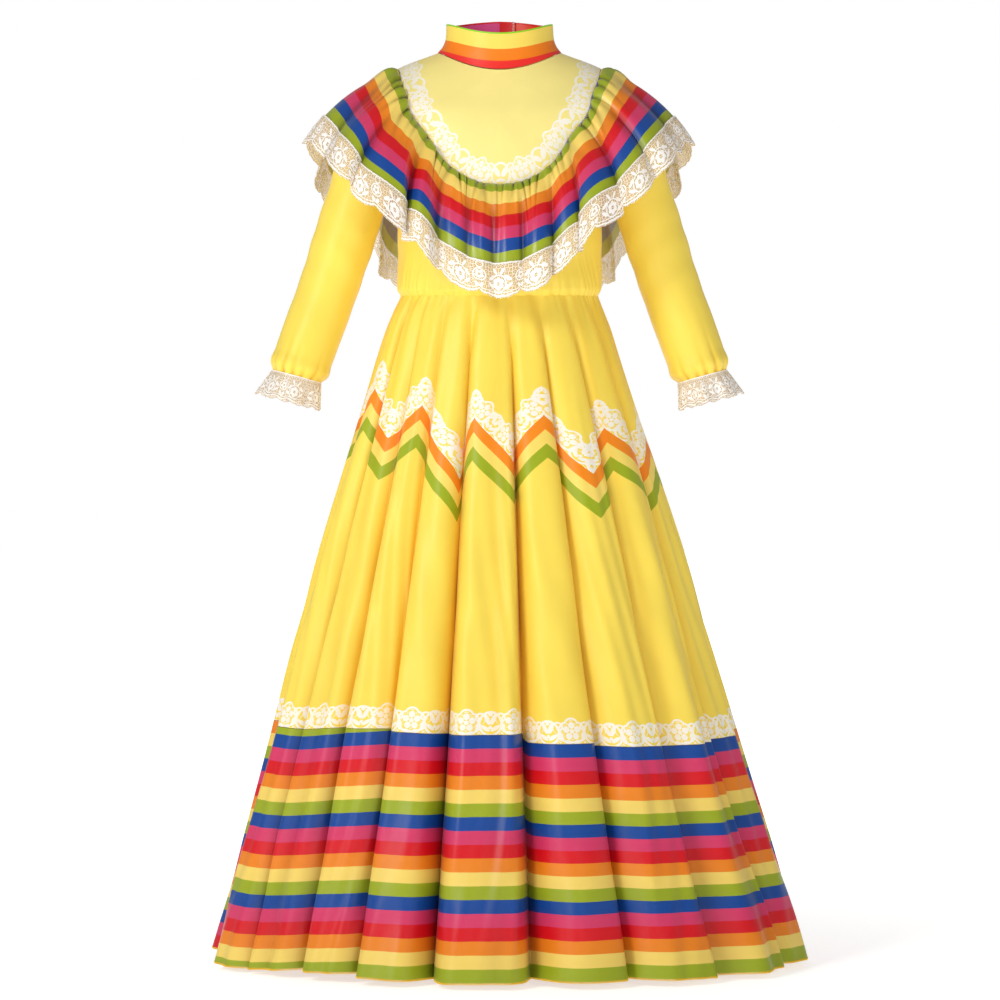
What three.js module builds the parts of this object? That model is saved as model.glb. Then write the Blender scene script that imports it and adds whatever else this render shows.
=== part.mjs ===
// A girl's folk dance dress, worn shape, hollow: high collar, yoke, gathered shoulder ruffle with lace,
// long sleeves with lace frills, a flared skirt in deep folds and a striped hem band.
// Millimetres. +Z is up, the front faces -Y, and +X is the wearer's left.
// The origin is where the wearer's shoulders hold the dress, on its centre plane.
import * as THREE from "three";

// Driving dimensions.
const CLOTH = 1.2; // wall of the sewn cloth
const LACE = 1; // wall of the lace edgings
const SEAM = 0.7; // gap between two pieces at a seam
const WAIST_LEVEL = 0;
const NECK_LEVEL = 1;
const HEM_UP = -953; // height of the skirt's hem
const HEM_LIFT = 16; // how much higher it hangs behind, on the wearer's right
const BAND_SHARE = 0.65; // share of the way from waist to hem where the striped band starts
const COLLAR_HEIGHT = 38;
const BACK_LAP = 16; // how far the right back passes under the left back
const LAP_STEP = 2; // how much deeper the under lap lies
const RUFFLE_DEPTH = 96; // the ruffle's cloth, from its seam to its cut edge
const LACE_START = 84; // where the ruffle's lace begins, measured from the same seam
const LACE_END = 128; // where that lace ends, at the middle of its scallops
const RUFFLE_STAND = 3; // how far the ruffle's gathered edge stands off the bodice
const FRILL_LENGTH = 29; // the lace at each wrist

// Rings round the body, from the waist up to the neck: half widths, depths before and behind, and heights.
const TORSO = [
  { level: 0, half: 106, front: 86, back: 80, frontUp: -243, sideUp: -240, backUp: -241 },
  { level: 0.3, half: 110, front: 93, back: 84, frontUp: -186, sideUp: -184, backUp: -184 },
  { level: 0.55, half: 112, front: 95, back: 88, frontUp: -122, sideUp: -120, backUp: -118 },
  { level: 0.7, half: 130, front: 90, back: 88, frontUp: -82, sideUp: -70, backUp: -70 },
  { level: 0.82, half: 152, front: 80, back: 82, frontUp: -52, sideUp: -24, backUp: -34 },
  { level: 0.91, half: 112, front: 67, back: 66, frontUp: -27, sideUp: 4.5, backUp: 0 },
  { level: 1, half: 67, front: 54, back: 50, frontUp: -1, sideUp: 22.5, backUp: 30 },
];

// The collar's rings, from its seam to its top edge.
const COLLAR = [
  { rise: 0, half: 67, front: 54, back: 50, frontUp: -1, sideUp: 22.5, backUp: 30 },
  { rise: 0.25, half: 61, front: 52, back: 48.5, frontUp: 9, sideUp: 30, backUp: 38.5 },
  { rise: 0.5, half: 58, front: 51.5, back: 48.5, frontUp: 19, sideUp: 38, backUp: 47 },
  { rise: 1, half: 57, front: 52, back: 50, frontUp: 39, sideUp: 54, backUp: 64 },
];

// The curved seam that carries the ruffle, from the centre line (0) to the shoulder (1): angle round the body
// and level. A row beyond each end keeps the curve smooth there.
const YOKE_SEAM_FRONT = [
  { along: -0.2, angle: -16, level: 0.555 },
  { along: 0, angle: 0, level: 0.53 },
  { along: 0.2, angle: 16, level: 0.555 },
  { along: 0.4, angle: 30, level: 0.635 },
  { along: 0.6, angle: 36.5, level: 0.76 },
  { along: 0.8, angle: 46, level: 0.86 },
  { along: 1, angle: 90, level: 0.91 },
  { along: 1.2, angle: 127, level: 0.775 },
];
const YOKE_SEAM_BACK = [
  { along: -0.2, angle: 198, level: 0.505 },
  { along: 0, angle: 180, level: 0.5 },
  { along: 0.2, angle: 162, level: 0.505 },
  { along: 0.4, angle: 146, level: 0.535 },
  { along: 0.6, angle: 134, level: 0.62 },
  { along: 0.8, angle: 127, level: 0.775 },
  { along: 1, angle: 90, level: 0.91 },
  { along: 1.2, angle: 46, level: 0.86 },
];

// The armhole, cut into the side edges of the bodice: shares of the way up the edge, and its half width.
const ARMHOLE = { middle: 0.752, reach: 0.148, angle: 32 };

// How the ruffle falls, round from the front (0) over the shoulder (1) to the back (2):
// its heading, and its slope below the horizontal at the seam and at the lace's edge.
const RUFFLE_FALL = [
  { turn: 0, heading: 0, slopeTop: 48, slopeEnd: 99 },
  { turn: 0.33, heading: 8, slopeTop: 44, slopeEnd: 94 },
  { turn: 0.5, heading: 20, slopeTop: 36, slopeEnd: 84 },
  { turn: 0.67, heading: 40, slopeTop: 28, slopeEnd: 72 },
  { turn: 0.85, heading: 60, slopeTop: 22, slopeEnd: 62 },
  { turn: 1, heading: 90, slopeTop: 23, slopeEnd: 61 },
  { turn: 1.1, heading: 117, slopeTop: 34, slopeEnd: 79 },
  { turn: 1.25, heading: 127, slopeTop: 42, slopeEnd: 88 },
  { turn: 1.44, heading: 136, slopeTop: 40, slopeEnd: 88 },
  { turn: 1.65, heading: 160, slopeTop: 44, slopeEnd: 92 },
  { turn: 2, heading: 180, slopeTop: 50, slopeEnd: 94 },
];

// Folds of the ruffle: where each valley lies, how deep it is, how far the ridge after it rises, and how
// tightly the valley is pinched.
const RUFFLE_FOLDS = [
  { at: -2, depth: 4, rise: 6, pinch: 0.3 },
  { at: -1.85, depth: 8, rise: 7, pinch: 0.5 },
  { at: -1.68, depth: 6, rise: 6, pinch: 0.4 },
  { at: -1.5, depth: 10, rise: 8, pinch: 0.5 },
  { at: -1.33, depth: 7, rise: 6, pinch: 0.5 },
  { at: -1.18, depth: 9, rise: 7, pinch: 0.5 },
  { at: -1.05, depth: 6, rise: 3, pinch: 0.4 },
  { at: -0.87, depth: 9, rise: 5, pinch: 0.6 },
  { at: -0.72, depth: 8, rise: 8, pinch: 0.6 },
  { at: -0.52, depth: 22, rise: 8, pinch: 0.6 },
  { at: -0.37, depth: 4, rise: 3, pinch: 0.3 },
  { at: -0.2, depth: 2, rise: 2, pinch: 0.2 },
  { at: -0.04, depth: 2, rise: 2, pinch: 0.2 },
  { at: 0.14, depth: 4, rise: 5, pinch: 0.4 },
  { at: 0.32, depth: 9, rise: 6, pinch: 0.6 },
  { at: 0.46, depth: 10, rise: 7, pinch: 0.6 },
  { at: 0.61, depth: 11, rise: 7, pinch: 0.65 },
  { at: 0.76, depth: 9, rise: 6, pinch: 0.6 },
  { at: 0.9, depth: 8, rise: 3, pinch: 0.5 },
  { at: 1.06, depth: 6, rise: 6, pinch: 0.4 },
  { at: 1.22, depth: 9, rise: 7, pinch: 0.5 },
  { at: 1.38, depth: 7, rise: 7, pinch: 0.5 },
  { at: 1.54, depth: 10, rise: 6, pinch: 0.5 },
  { at: 1.7, depth: 6, rise: 7, pinch: 0.4 },
  { at: 1.86, depth: 8, rise: 6, pinch: 0.5 },
  { at: 2, depth: 4, rise: 6, pinch: 0.3 },
];

// The left sleeve's rings below the armhole: centre, half width across the front, half depth, the tilt of the
// ring, and how far it has turned from the armhole's shape into its own.
const SLEEVE = [
  { share: 0, x: 125, y: 0, z: -70, half: 50, deep: 42, tilt: 58, own: 0 },
  { share: 0.1, x: 142, y: 0, z: -82.5, half: 46, deep: 42, tilt: 56, own: 1 },
  { share: 0.22, x: 148, y: 0, z: -113, half: 33.5, deep: 40, tilt: 27, own: 1 },
  { share: 0.45, x: 166, y: -2, z: -172, half: 32.5, deep: 38.5, tilt: 18, own: 1 },
  { share: 0.67, x: 185, y: -6, z: -232, half: 31.5, deep: 37, tilt: 18, own: 1 },
  { share: 0.85, x: 203, y: -14, z: -284, half: 31.5, deep: 36, tilt: 20, own: 1 },
  { share: 0.95, x: 213, y: -18, z: -313, half: 30.5, deep: 35, tilt: 18, own: 1 },
  { share: 1, x: 217.5, y: -20, z: -326, half: 27, deep: 30, tilt: 15, own: 1 },
];
const WRIST_AXIS = new THREE.Vector3(0.3, -0.1, -0.95).normalize(); // the way the forearm points

// The skirt's rings from waist to hem, to the middle of its folds: how far they reach to either side of the
// centre line, and before and behind.
const SKIRT = [
  { down: 0, right: 106, left: 106, front: 86, back: 80 },
  { down: 0.03, right: 116, left: 112, front: 91, back: 86 },
  { down: 0.15, right: 139, left: 137, front: 109, back: 106 },
  { down: 0.33, right: 173, left: 176, front: 132, back: 135 },
  { down: 0.65, right: 229, left: 240, front: 174, back: 184 },
  { down: 1, right: 292, left: 315, front: 217, back: 240 },
];
const FRONT_SKEW = 0.08; // how much further forward the front hangs on the wearer's left

// Folds of the skirt, in degrees round from the centre front, with sizes at the hem.
const SKIRT_FOLDS = [
  { at: -94, depth: 24, rise: -4, pinch: 0.6 },
  { at: -76, depth: 16, rise: 20, pinch: 0.5 },
  { at: -60, depth: 22, rise: 12, pinch: 0.75 },
  { at: -45, depth: 8, rise: 9, pinch: 0.3 },
  { at: -30, depth: 9, rise: 12, pinch: 0.35 },
  { at: -14.6, depth: 31, rise: 14, pinch: 0.82 },
  { at: 6.2, depth: 28, rise: 14, pinch: 0.78 },
  { at: 23.2, depth: 23, rise: 14, pinch: 0.75 },
  { at: 42.7, depth: 23, rise: 14, pinch: 0.75 },
  { at: 64.8, depth: 20, rise: 14, pinch: 0.7 },
  { at: 84, depth: 18, rise: 15, pinch: 0.6 },
  { at: 103, depth: 16, rise: 14, pinch: 0.6 },
  { at: 120, depth: 22, rise: 12, pinch: 0.7 },
  { at: 138, depth: 14, rise: 12, pinch: 0.5 },
  { at: 156, depth: 24, rise: 14, pinch: 0.75 },
  { at: 173, depth: 14, rise: 12, pinch: 0.5 },
  { at: 190, depth: 22, rise: 14, pinch: 0.7 },
  { at: 208, depth: 15, rise: 12, pinch: 0.5 },
  { at: 227, depth: 24, rise: 20, pinch: 0.7 },
  { at: 247, depth: 12, rise: 24, pinch: 0.6 },
  { at: 266, depth: 24, rise: -4, pinch: 0.6 },
];
const FOLD_GROWTH = 0.62; // how the folds deepen from waist to hem: 1 would be a straight line
const PINCH_START = 0.1; // share of the skirt's length over which the folds close up

// Small gathers, drawn up by thread or elastic.
const RUFFLE_GATHER = { count: 60, size: 1.3, fades: 26 };
const WAIST_GATHER = { size: 1.3, fades: 0.2 };
const WRIST_GATHER = { count: 12, size: 1.6, fades: 0.12 };

const COLOURS = {
  yellow: 0xf7d82e,
  orange: 0xee8a2a,
  rainbow: 0xd8482f,
  lace: 0xf0e6da,
};
const ROUGHNESS = 0.45;

const radians = THREE.MathUtils.degToRad;
const mix = THREE.MathUtils.lerp;

// A smooth curve through one column of a table, read at a place on its key column.
function readTable(table, key, place, column) {
  let low = 0;
  while (low < table.length - 2 && table[low + 1][key] <= place) low += 1;
  const slope = (row) => {
    const before = table[Math.max(row - 1, 0)];
    const after = table[Math.min(row + 1, table.length - 1)];
    return (after[column] - before[column]) / (after[key] - before[key]);
  };
  const start = table[low];
  const end = table[low + 1];
  const width = end[key] - start[key];
  const t = THREE.MathUtils.clamp((place - start[key]) / width, 0, 1);
  const square = t * t;
  const cube = square * t;
  return (
    (2 * cube - 3 * square + 1) * start[column] +
    (cube - 2 * square + t) * width * slope(low) +
    (3 * square - 2 * cube) * end[column] +
    (cube - square) * width * slope(low + 1)
  );
}

// A point on a ring that is flattened front to back, at an angle from the centre front.
function ringPoint(table, key, place, angle) {
  const read = (column) => readTable(table, key, place, column);
  const across = Math.sin(radians(angle));
  const ahead = Math.cos(radians(angle));
  const isFront = ahead >= 0;
  const depth = isFront ? read("front") : read("back");
  const middleUp = isFront ? read("frontUp") : read("backUp");
  return new THREE.Vector3(
    read("half") * across,
    -depth * ahead,
    mix(read("sideUp"), middleUp, ahead * ahead),
  );
}

const bodyPoint = (angle, level) => ringPoint(TORSO, "level", level, angle);

// How far a fold moves the cloth: out from its ring, and along it as a share of a turn of the fold.
function foldAt(folds, place) {
  let low = 0;
  while (low < folds.length - 2 && folds[low + 1].at <= place) low += 1;
  const width = folds[low + 1].at - folds[low].at;
  const phase = (place - folds[low].at) / width;
  const valley = phase < 0.5 ? folds[low] : folds[low + 1];
  const wave = (1 + Math.cos(2 * Math.PI * phase)) / 2;
  return {
    out: folds[low].rise * (1 - wave) - valley.depth * wave,
    along: (-width * valley.pinch * Math.sin(2 * Math.PI * phase)) / (2 * Math.PI),
  };
}

// The places where a fold table needs columns, with equal steps inside each fold.
function foldColumns(folds, steps, from, to) {
  const margin = (to - from) / 200;
  const places = [from];
  folds.slice(0, -1).forEach((fold, index) => {
    const width = folds[index + 1].at - fold.at;
    for (let step = 0; step < steps; step += 1) {
      const place = fold.at + (width * step) / steps;
      if (place > from + margin && place < to - margin) places.push(place);
    }
  });
  places.push(to);
  return places;
}

// Evenly spaced places from one number to another.
function spread(from, to, steps) {
  return Array.from({ length: steps + 1 }, (_, index) => mix(from, to, index / steps));
}

// The outward normal of a sheet of points at one row and column.
function sheetNormal(sheet, row, column, closed) {
  const line = sheet[row];
  const count = line.length;
  const left = closed ? line[(column - 1 + count) % count] : line[Math.max(column - 1, 0)];
  const right = closed ? line[(column + 1) % count] : line[Math.min(column + 1, count - 1)];
  const below = sheet[Math.max(row - 1, 0)][column];
  const above = sheet[Math.min(row + 1, sheet.length - 1)][column];
  const across = new THREE.Vector3().subVectors(right, left);
  const up = new THREE.Vector3().subVectors(above, below);
  return across.cross(up).normalize();
}

// Moves each point of a sheet out along its normal.
function moveOut(sheet, distance, closed = false) {
  return sheet.map((line, row) =>
    line.map((point, column) =>
      point.clone().addScaledVector(sheetNormal(sheet, row, column, closed), distance),
    ),
  );
}

// Joins an outer and an inner skin round their rims into one closed wall.
function joinSkins(skins, closed = false) {
  const rows = skins[0].length;
  const columns = skins[0][0].length;
  const positions = skins.flatMap((skin) =>
    skin.flatMap((line) => line.flatMap((point) => point.toArray())),
  );
  const at = (skin, row, column) => (skin * rows + row) * columns + (column % columns);
  const index = [];
  const quad = (a, b, c, d) => index.push(a, b, c, a, c, d);
  const lastColumn = closed ? columns : columns - 1;
  for (let column = 0; column < lastColumn; column += 1) {
    for (let row = 0; row < rows - 1; row += 1) {
      quad(at(0, row, column), at(0, row, column + 1), at(0, row + 1, column + 1), at(0, row + 1, column));
      quad(at(1, row, column), at(1, row + 1, column), at(1, row + 1, column + 1), at(1, row, column + 1));
    }
    quad(at(1, 0, column), at(1, 0, column + 1), at(0, 0, column + 1), at(0, 0, column));
    const top = rows - 1;
    quad(at(0, top, column), at(0, top, column + 1), at(1, top, column + 1), at(1, top, column));
  }
  for (let row = 0; row < rows - 1 && !closed; row += 1) {
    const end = columns - 1;
    quad(at(0, row, 0), at(0, row + 1, 0), at(1, row + 1, 0), at(1, row, 0));
    quad(at(0, row, end), at(1, row, end), at(1, row + 1, end), at(0, row + 1, end));
  }
  const geometry = new THREE.BufferGeometry();
  geometry.setAttribute("position", new THREE.Float32BufferAttribute(positions, 3));
  geometry.setIndex(index);
  geometry.computeVertexNormals();
  return geometry;
}

// A wall of even thickness round a sheet of points.
function wall(sheet, thickness, closed = false) {
  return joinSkins([thickness / 2, -thickness / 2].map((side) => moveOut(sheet, side, closed)), closed);
}

const dress = new THREE.Group();

function addPiece(name, geometry, colour) {
  const material = new THREE.MeshStandardMaterial({
    color: colour,
    roughness: ROUGHNESS,
    metalness: 0,
  });
  const mesh = new THREE.Mesh(geometry, material);
  mesh.name = name;
  dress.add(mesh);
}

// A sheet from a rule that gives a point for each row and column.
function sheetOf(rows, columns, rule) {
  return rows.map((row) => columns.map((column) => rule(row, column)));
}

// The right half is the left half seen in a mirror. Its columns run the other way, so that the outside stays
// outside.
function mirrored(sheet) {
  return sheet.map((line) =>
    line.map((point) => new THREE.Vector3(-point.x, point.y, point.z)).reverse(),
  );
}

// Yoke: the smooth upper part between the collar and the ruffle's seam.
const PANEL_COLUMNS = 36; // across the front, and across both back halves together
const EDGE_SHARE = 0.0018; // keeps side and shoulder seams apart, as a share of a half panel
const TURN_MM = 1.9; // about how far a degree round the body goes
const LEVEL_MM = 260; // about how far it is from waist level 0 to neck level 1

// A place on the ruffle's seam, moved off it across the body's surface: plus is down, minus is up.
function seamPlace(table, along, off = 0) {
  const place = Math.abs(along);
  const read = (column, beyond = 0) => readTable(table, "along", place + beyond, column);
  const step = 0.004;
  const turn = (read("angle", step) - read("angle", -step)) * TURN_MM;
  const climb = (read("level", step) - read("level", -step)) * LEVEL_MM;
  const length = Math.hypot(turn, climb);
  const side = Math.sign(turn);
  return {
    angle: read("angle") + (side * off * climb) / length / TURN_MM,
    level: read("level") - (side * off * turn) / length / LEVEL_MM,
  };
}

// A point that stands off the body's surface by some distance.
function offBody(angle, level, distance) {
  const step = { angle: 0.2, level: 0.004 };
  const top = Math.min(level + step.level, NECK_LEVEL);
  const across = bodyPoint(angle + step.angle, level).sub(bodyPoint(angle - step.angle, level));
  const up = bodyPoint(angle, top).sub(bodyPoint(angle, top - 2 * step.level));
  return bodyPoint(angle, level).addScaledVector(across.cross(up).normalize(), distance);
}

// The two skins of a panel that lies on the body. The rule gives angle, level and how far it stands off.
function panelSkins(rows, columns, rule) {
  return [CLOTH / 2, -CLOTH / 2].map((side) =>
    sheetOf(rows, columns, (row, along) => {
      const place = rule(row, along);
      return offBody(place.angle, place.level, place.off + side);
    }),
  );
}

// Columns of a left back half, as shares of the way from the side to the centre line.
const leftShares = spread(1 - EDGE_SHARE, EDGE_SHARE, PANEL_COLUMNS / 2);

// The right back runs on past the centre line, and lies a step further in there.
function rightShares(halfWidth) {
  const lap = BACK_LAP / halfWidth;
  return [...spread(1 - EDGE_SHARE, 0, PANEL_COLUMNS / 2), -lap / 2, -lap];
}

function tuckedUnder(rule) {
  return (row, along) => {
    const place = rule(row, Math.abs(along));
    const sink = LAP_STEP * (1 - THREE.MathUtils.smoothstep(along, 0.005, 0.11));
    return {
      angle: along < 0 ? 360 - place.angle : place.angle,
      level: place.level,
      off: place.off - sink,
    };
  };
}

function addBodyPanels(name, rows, halfWidth, rule) {
  const frontShares = spread(-1 + EDGE_SHARE, 1 - EDGE_SHARE, PANEL_COLUMNS);
  const frontRule = (row, along) => rule(YOKE_SEAM_FRONT, 0, along, row);
  const backRule = (row, along) => rule(YOKE_SEAM_BACK, 180, along, row);
  const front = panelSkins(rows, frontShares, frontRule);
  const left = panelSkins(rows, leftShares, backRule);
  const right = panelSkins(rows, rightShares(halfWidth), tuckedUnder(backRule)).map(mirrored);
  addPiece(`${name}_front`, joinSkins(front), COLOURS.yellow);
  addPiece(`${name}_back_left`, joinSkins(left), COLOURS.yellow);
  addPiece(`${name}_back_right`, joinSkins(right), COLOURS.yellow);
}

function yokePlace(table, centre, along, up) {
  const seam = seamPlace(table, along, -SEAM / 2);
  const side = Math.sign(along) || 1;
  const neckAngle = mix(centre, 90, Math.abs(along) ** 1.6);
  return {
    angle: side * mix(seam.angle, neckAngle, up),
    level: mix(seam.level, NECK_LEVEL, up),
    off: 0,
  };
}

function buildYoke() {
  const rows = [0, 0.33, 0.67, 0.998];
  const halfWidth = 150;
  addBodyPanels("yoke", rows, halfWidth, yokePlace);
}

// Collar: a standing strip whose right end passes under its left end at the back.
function buildCollar() {
  const strip = { steps: 32, rows: 3 };
  const lapAngle = 18;
  const angles = spread(-180 - lapAngle, 180, strip.steps);
  const rises = spread((SEAM * 1.6) / COLLAR_HEIGHT, 1, strip.rows);
  const sheet = sheetOf(rises, angles, (rise, angle) => {
    const point = ringPoint(COLLAR, "rise", rise, angle);
    const under = THREE.MathUtils.smoothstep(-angle, 180 - lapAngle, 179);
    const inward = new THREE.Vector3(-point.x, -point.y, 0).normalize();
    return point.addScaledVector(inward, under * LAP_STEP);
  });
  addPiece("collar", wall(sheet, CLOTH), COLOURS.orange);
}

// Lower bodice: from the waist up to the ruffle's seam, with half an armhole in each side edge.
const ARMHOLE_STEP = 30; // degrees round the armhole between its corners
const ARMHOLE_TURNS = spread(180, 0, 180 / ARMHOLE_STEP);
const armholeUp = (turn) => ARMHOLE.middle + ARMHOLE.reach * Math.cos(radians(turn));

function armholeNotch(up) {
  const reach = (up - ARMHOLE.middle) / ARMHOLE.reach;
  return Math.abs(reach) < 1 ? ARMHOLE.angle * Math.sqrt(1 - reach * reach) : 0;
}

function bodicePlace(table, centre, along, up) {
  const share = Math.abs(along);
  const side = Math.sign(along) || 1;
  const seam = seamPlace(table, along, SEAM / 2);
  const towardCentre = centre === 0 ? -1 : 1;
  const notch = towardCentre * armholeNotch(up) * share ** 7;
  const fade = Math.max(0, 1 - up / WAIST_GATHER.fades);
  const gather = Math.cos((Math.PI * PANEL_COLUMNS * (along + 1)) / 2);
  return {
    angle: side * (mix(mix(centre, 90, share), seam.angle, up) + notch),
    level: up * seam.level,
    off: gather * WAIST_GATHER.size * fade,
  };
}

function buildBodice() {
  const rows = [0, 0.07, 0.18, 0.38, ...ARMHOLE_TURNS.map(armholeUp), 1];
  const halfWidth = 160;
  addBodyPanels("bodice", rows, halfWidth, bodicePlace);
}

// Sleeves: a tube from the armhole to the elastic at the wrist.
const SLEEVE_COLUMNS = 24;
const ARMHOLE_INSET = 0.96; // the sleeve's first ring, as a share of the armhole's size
const SLEEVE_SHARES = [0, 0.1, 0.22, 0.4, 0.6, 0.8, 0.92, 0.975, 1];

// A corner of the armhole's edge on the body: turn 0 is its top, 90 its front.
function armholeCorner(turn) {
  const up = armholeUp(turn);
  const shoulderLevel = readTable(YOKE_SEAM_FRONT, "along", 1, "level");
  const angle = 90 - ARMHOLE.angle * Math.sin(radians(turn));
  return bodyPoint(angle, up * shoulderLevel);
}

// A point of the sleeve's first ring, just inside the armhole's straight edges.
function armholePoint(turn) {
  const before = Math.floor(turn / ARMHOLE_STEP) * ARMHOLE_STEP;
  const share = (turn - before) / ARMHOLE_STEP;
  const edge = armholeCorner(before).lerp(armholeCorner(before + ARMHOLE_STEP), share);
  const middle = armholeCorner(90).lerp(armholeCorner(270), 0.5);
  return middle.lerp(edge, ARMHOLE_INSET);
}

function sleevePoint(share, turn) {
  const read = (column) => readTable(SLEEVE, "share", share, column);
  const tilt = radians(read("tilt"));
  const across = Math.cos(radians(turn)) * read("half");
  const tube = new THREE.Vector3(
    read("x") + across * Math.cos(tilt),
    read("y") - Math.sin(radians(turn)) * read("deep"),
    read("z") + across * Math.sin(tilt),
  );
  return armholePoint(turn).lerp(tube, THREE.MathUtils.clamp(read("own"), 0, 1));
}

// Gathers and waves move a point out from the middle of its ring.
function awayFrom(point, centre, distance) {
  const outward = new THREE.Vector3().subVectors(point, centre).normalize();
  return point.addScaledVector(outward, distance);
}

function sleeveCentre(share) {
  const read = (column) => readTable(SLEEVE, "share", share, column);
  return new THREE.Vector3(read("x"), read("y"), read("z"));
}

function frillPoint(down, turn) {
  const wave = { count: 7, size: 3.5, flare: 6.5 };
  const start = sleevePoint(1, turn);
  const centre = sleeveCentre(1);
  const share = down / FRILL_LENGTH;
  const swell = share * (wave.flare + wave.size * Math.cos(radians(turn * wave.count)));
  return awayFrom(start, centre, swell).addScaledVector(WRIST_AXIS, down);
}

function buildSleeves() {
  const turns = spread(0, 360, SLEEVE_COLUMNS).slice(0, -1).reverse();
  const sheet = sheetOf([...SLEEVE_SHARES].reverse(), turns, (share, turn) => {
    const fade = Math.max(0, 1 - (1 - share) / WRIST_GATHER.fades);
    const gather = Math.cos(radians(turn * WRIST_GATHER.count)) * WRIST_GATHER.size * fade;
    return awayFrom(sleevePoint(share, turn), sleeveCentre(share), gather);
  });
  const frillRows = spread(FRILL_LENGTH, SEAM, 2);
  const frill = sheetOf(frillRows, turns, frillPoint);
  addPiece("sleeve_left", wall(sheet, CLOTH, true), COLOURS.yellow);
  addPiece("sleeve_right", wall(mirrored(sheet), CLOTH, true), COLOURS.yellow);
  addPiece("cuff_lace_left", wall(frill, LACE, true), COLOURS.lace);
  addPiece("cuff_lace_right", wall(mirrored(frill), LACE, true), COLOURS.lace);
}

// Ruffle: a strip gathered onto the yoke's seam, falling over bodice, shoulders and sleeves.
function rufflePlain(turn, down) {
  const size = Math.min(Math.abs(turn), 2);
  const side = Math.sign(turn) || 1;
  const isFront = size <= 1;
  const table = isFront ? YOKE_SEAM_FRONT : YOKE_SEAM_BACK;
  const seam = seamPlace(table, isFront ? size : 2 - size);
  const start = offBody(seam.angle, seam.level, RUFFLE_STAND);
  const fall = (column) => radians(readTable(RUFFLE_FALL, "turn", size, column));
  const first = fall("slopeTop");
  const bend = (fall("slopeEnd") - first) / LACE_END;
  const now = first + bend * down;
  const reach = (Math.sin(now) - Math.sin(first)) / bend;
  const drop = (Math.cos(first) - Math.cos(now)) / bend;
  const heading = fall("heading");
  return new THREE.Vector3(
    side * (start.x + reach * Math.sin(heading)),
    start.y - reach * Math.cos(heading),
    start.z - drop,
  );
}

function rufflePoint(turn, down, gather) {
  const share = down / LACE_END;
  const growth = share ** 0.85;
  const fold = foldAt(RUFFLE_FOLDS, turn);
  const moved = turn + fold.along * Math.min(1, share * 1.6);
  const point = rufflePlain(moved, down);
  const step = { turn: 0.01, down: 1 };
  const beside = rufflePlain(moved + step.turn, down).sub(rufflePlain(moved - step.turn, down));
  const below = rufflePlain(moved, down + step.down).sub(rufflePlain(moved, down - step.down));
  const normal = below.cross(beside).normalize();
  const fade = Math.max(0, 1 - down / RUFFLE_GATHER.fades);
  return point.addScaledVector(normal, fold.out * growth + gather * RUFFLE_GATHER.size * fade);
}

function buildRuffle() {
  const columns = RUFFLE_GATHER.count * 2;
  const opening = 0.003; // half the gap between the ruffle's ends at the back, in turns
  const turns = spread(-2 + opening, 2 - opening, columns);
  const alternate = (turn) => Math.cos((Math.PI * columns * (turn + 2)) / 4);
  const rows = [RUFFLE_DEPTH, 74, 50, 26, 9, 0];
  const cloth = sheetOf(rows, turns, (down, turn) => rufflePoint(turn, down, alternate(turn)));
  addPiece("ruffle", wall(cloth, CLOTH), COLOURS.rainbow);

  const scallops = { count: 34, size: 4 };
  const laceRows = [1, 0.35, 0];
  const lace = sheetOf(laceRows, turns, (share, turn) => {
    const scallop = scallops.size * share * Math.cos((Math.PI * scallops.count * (turn + 2)) / 2);
    return rufflePoint(turn, mix(LACE_START, LACE_END, share) + scallop, 0);
  });
  const clearance = (CLOTH + LACE) / 2 + SEAM;
  addPiece("ruffle_lace", wall(moveOut(lace, clearance), LACE), COLOURS.lace);
}

// Skirt: two panels flared from the waist, and the striped band sewn to their lower edge.
function skirtPoint(angle, down) {
  const fold = foldAt(SKIRT_FOLDS, angle < SKIRT_FOLDS[0].at ? angle + 360 : angle);
  const growth = down ** FOLD_GROWTH;
  const closing = Math.min(1, down / PINCH_START);
  const turned = radians(angle + fold.along * closing);
  const read = (column) => readTable(SKIRT, "down", down, column);
  const across = Math.sin(turned);
  const ahead = Math.cos(turned);
  const half = across < 0 ? read("right") : read("left");
  const depth = ahead < 0 ? read("back") : read("front") * (1 + FRONT_SKEW * across * down);
  const outward = new THREE.Vector3(depth * across, -half * ahead, 0).normalize();
  const lift = HEM_LIFT * 2 * Math.max(0, -across) * Math.max(0, -ahead);
  const waist = bodyPoint(angle, WAIST_LEVEL);
  return new THREE.Vector3(
    half * across,
    -depth * ahead,
    mix(waist.z - SEAM, HEM_UP + lift, down),
  ).addScaledVector(outward, fold.out * growth);
}

function buildSkirt() {
  const foldSteps = 6;
  const sideGap = 0.09; // degrees that each panel stays clear of the side seam
  const panels = [
    { place: "front", from: -90 + sideGap, to: 90 - sideGap },
    { place: "back", from: 90 + sideGap, to: 270 - sideGap * 2 },
  ];
  const bandGap = SEAM / 2 / (WAIST_LEVEL - HEM_UP);
  const upperRows = [BAND_SHARE - bandGap, 0.48, 0.32, 0.18, 0.07, 0];
  const bandRows = [1, 0.82, BAND_SHARE + bandGap];
  panels.forEach(({ place, from, to }) => {
    const columns = foldColumns(SKIRT_FOLDS, foldSteps, from, to);
    const rule = (down, angle) => skirtPoint(angle, down);
    addPiece(`skirt_${place}`, wall(sheetOf(upperRows, columns, rule), CLOTH), COLOURS.yellow);
    addPiece(`hem_band_${place}`, wall(sheetOf(bandRows, columns, rule), CLOTH), COLOURS.rainbow);
  });
}

buildCollar();
buildYoke();
buildBodice();
buildSleeves();
buildRuffle();
buildSkirt();

export default dress;
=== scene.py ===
import math
from functools import partialmethod, reduce

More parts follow.
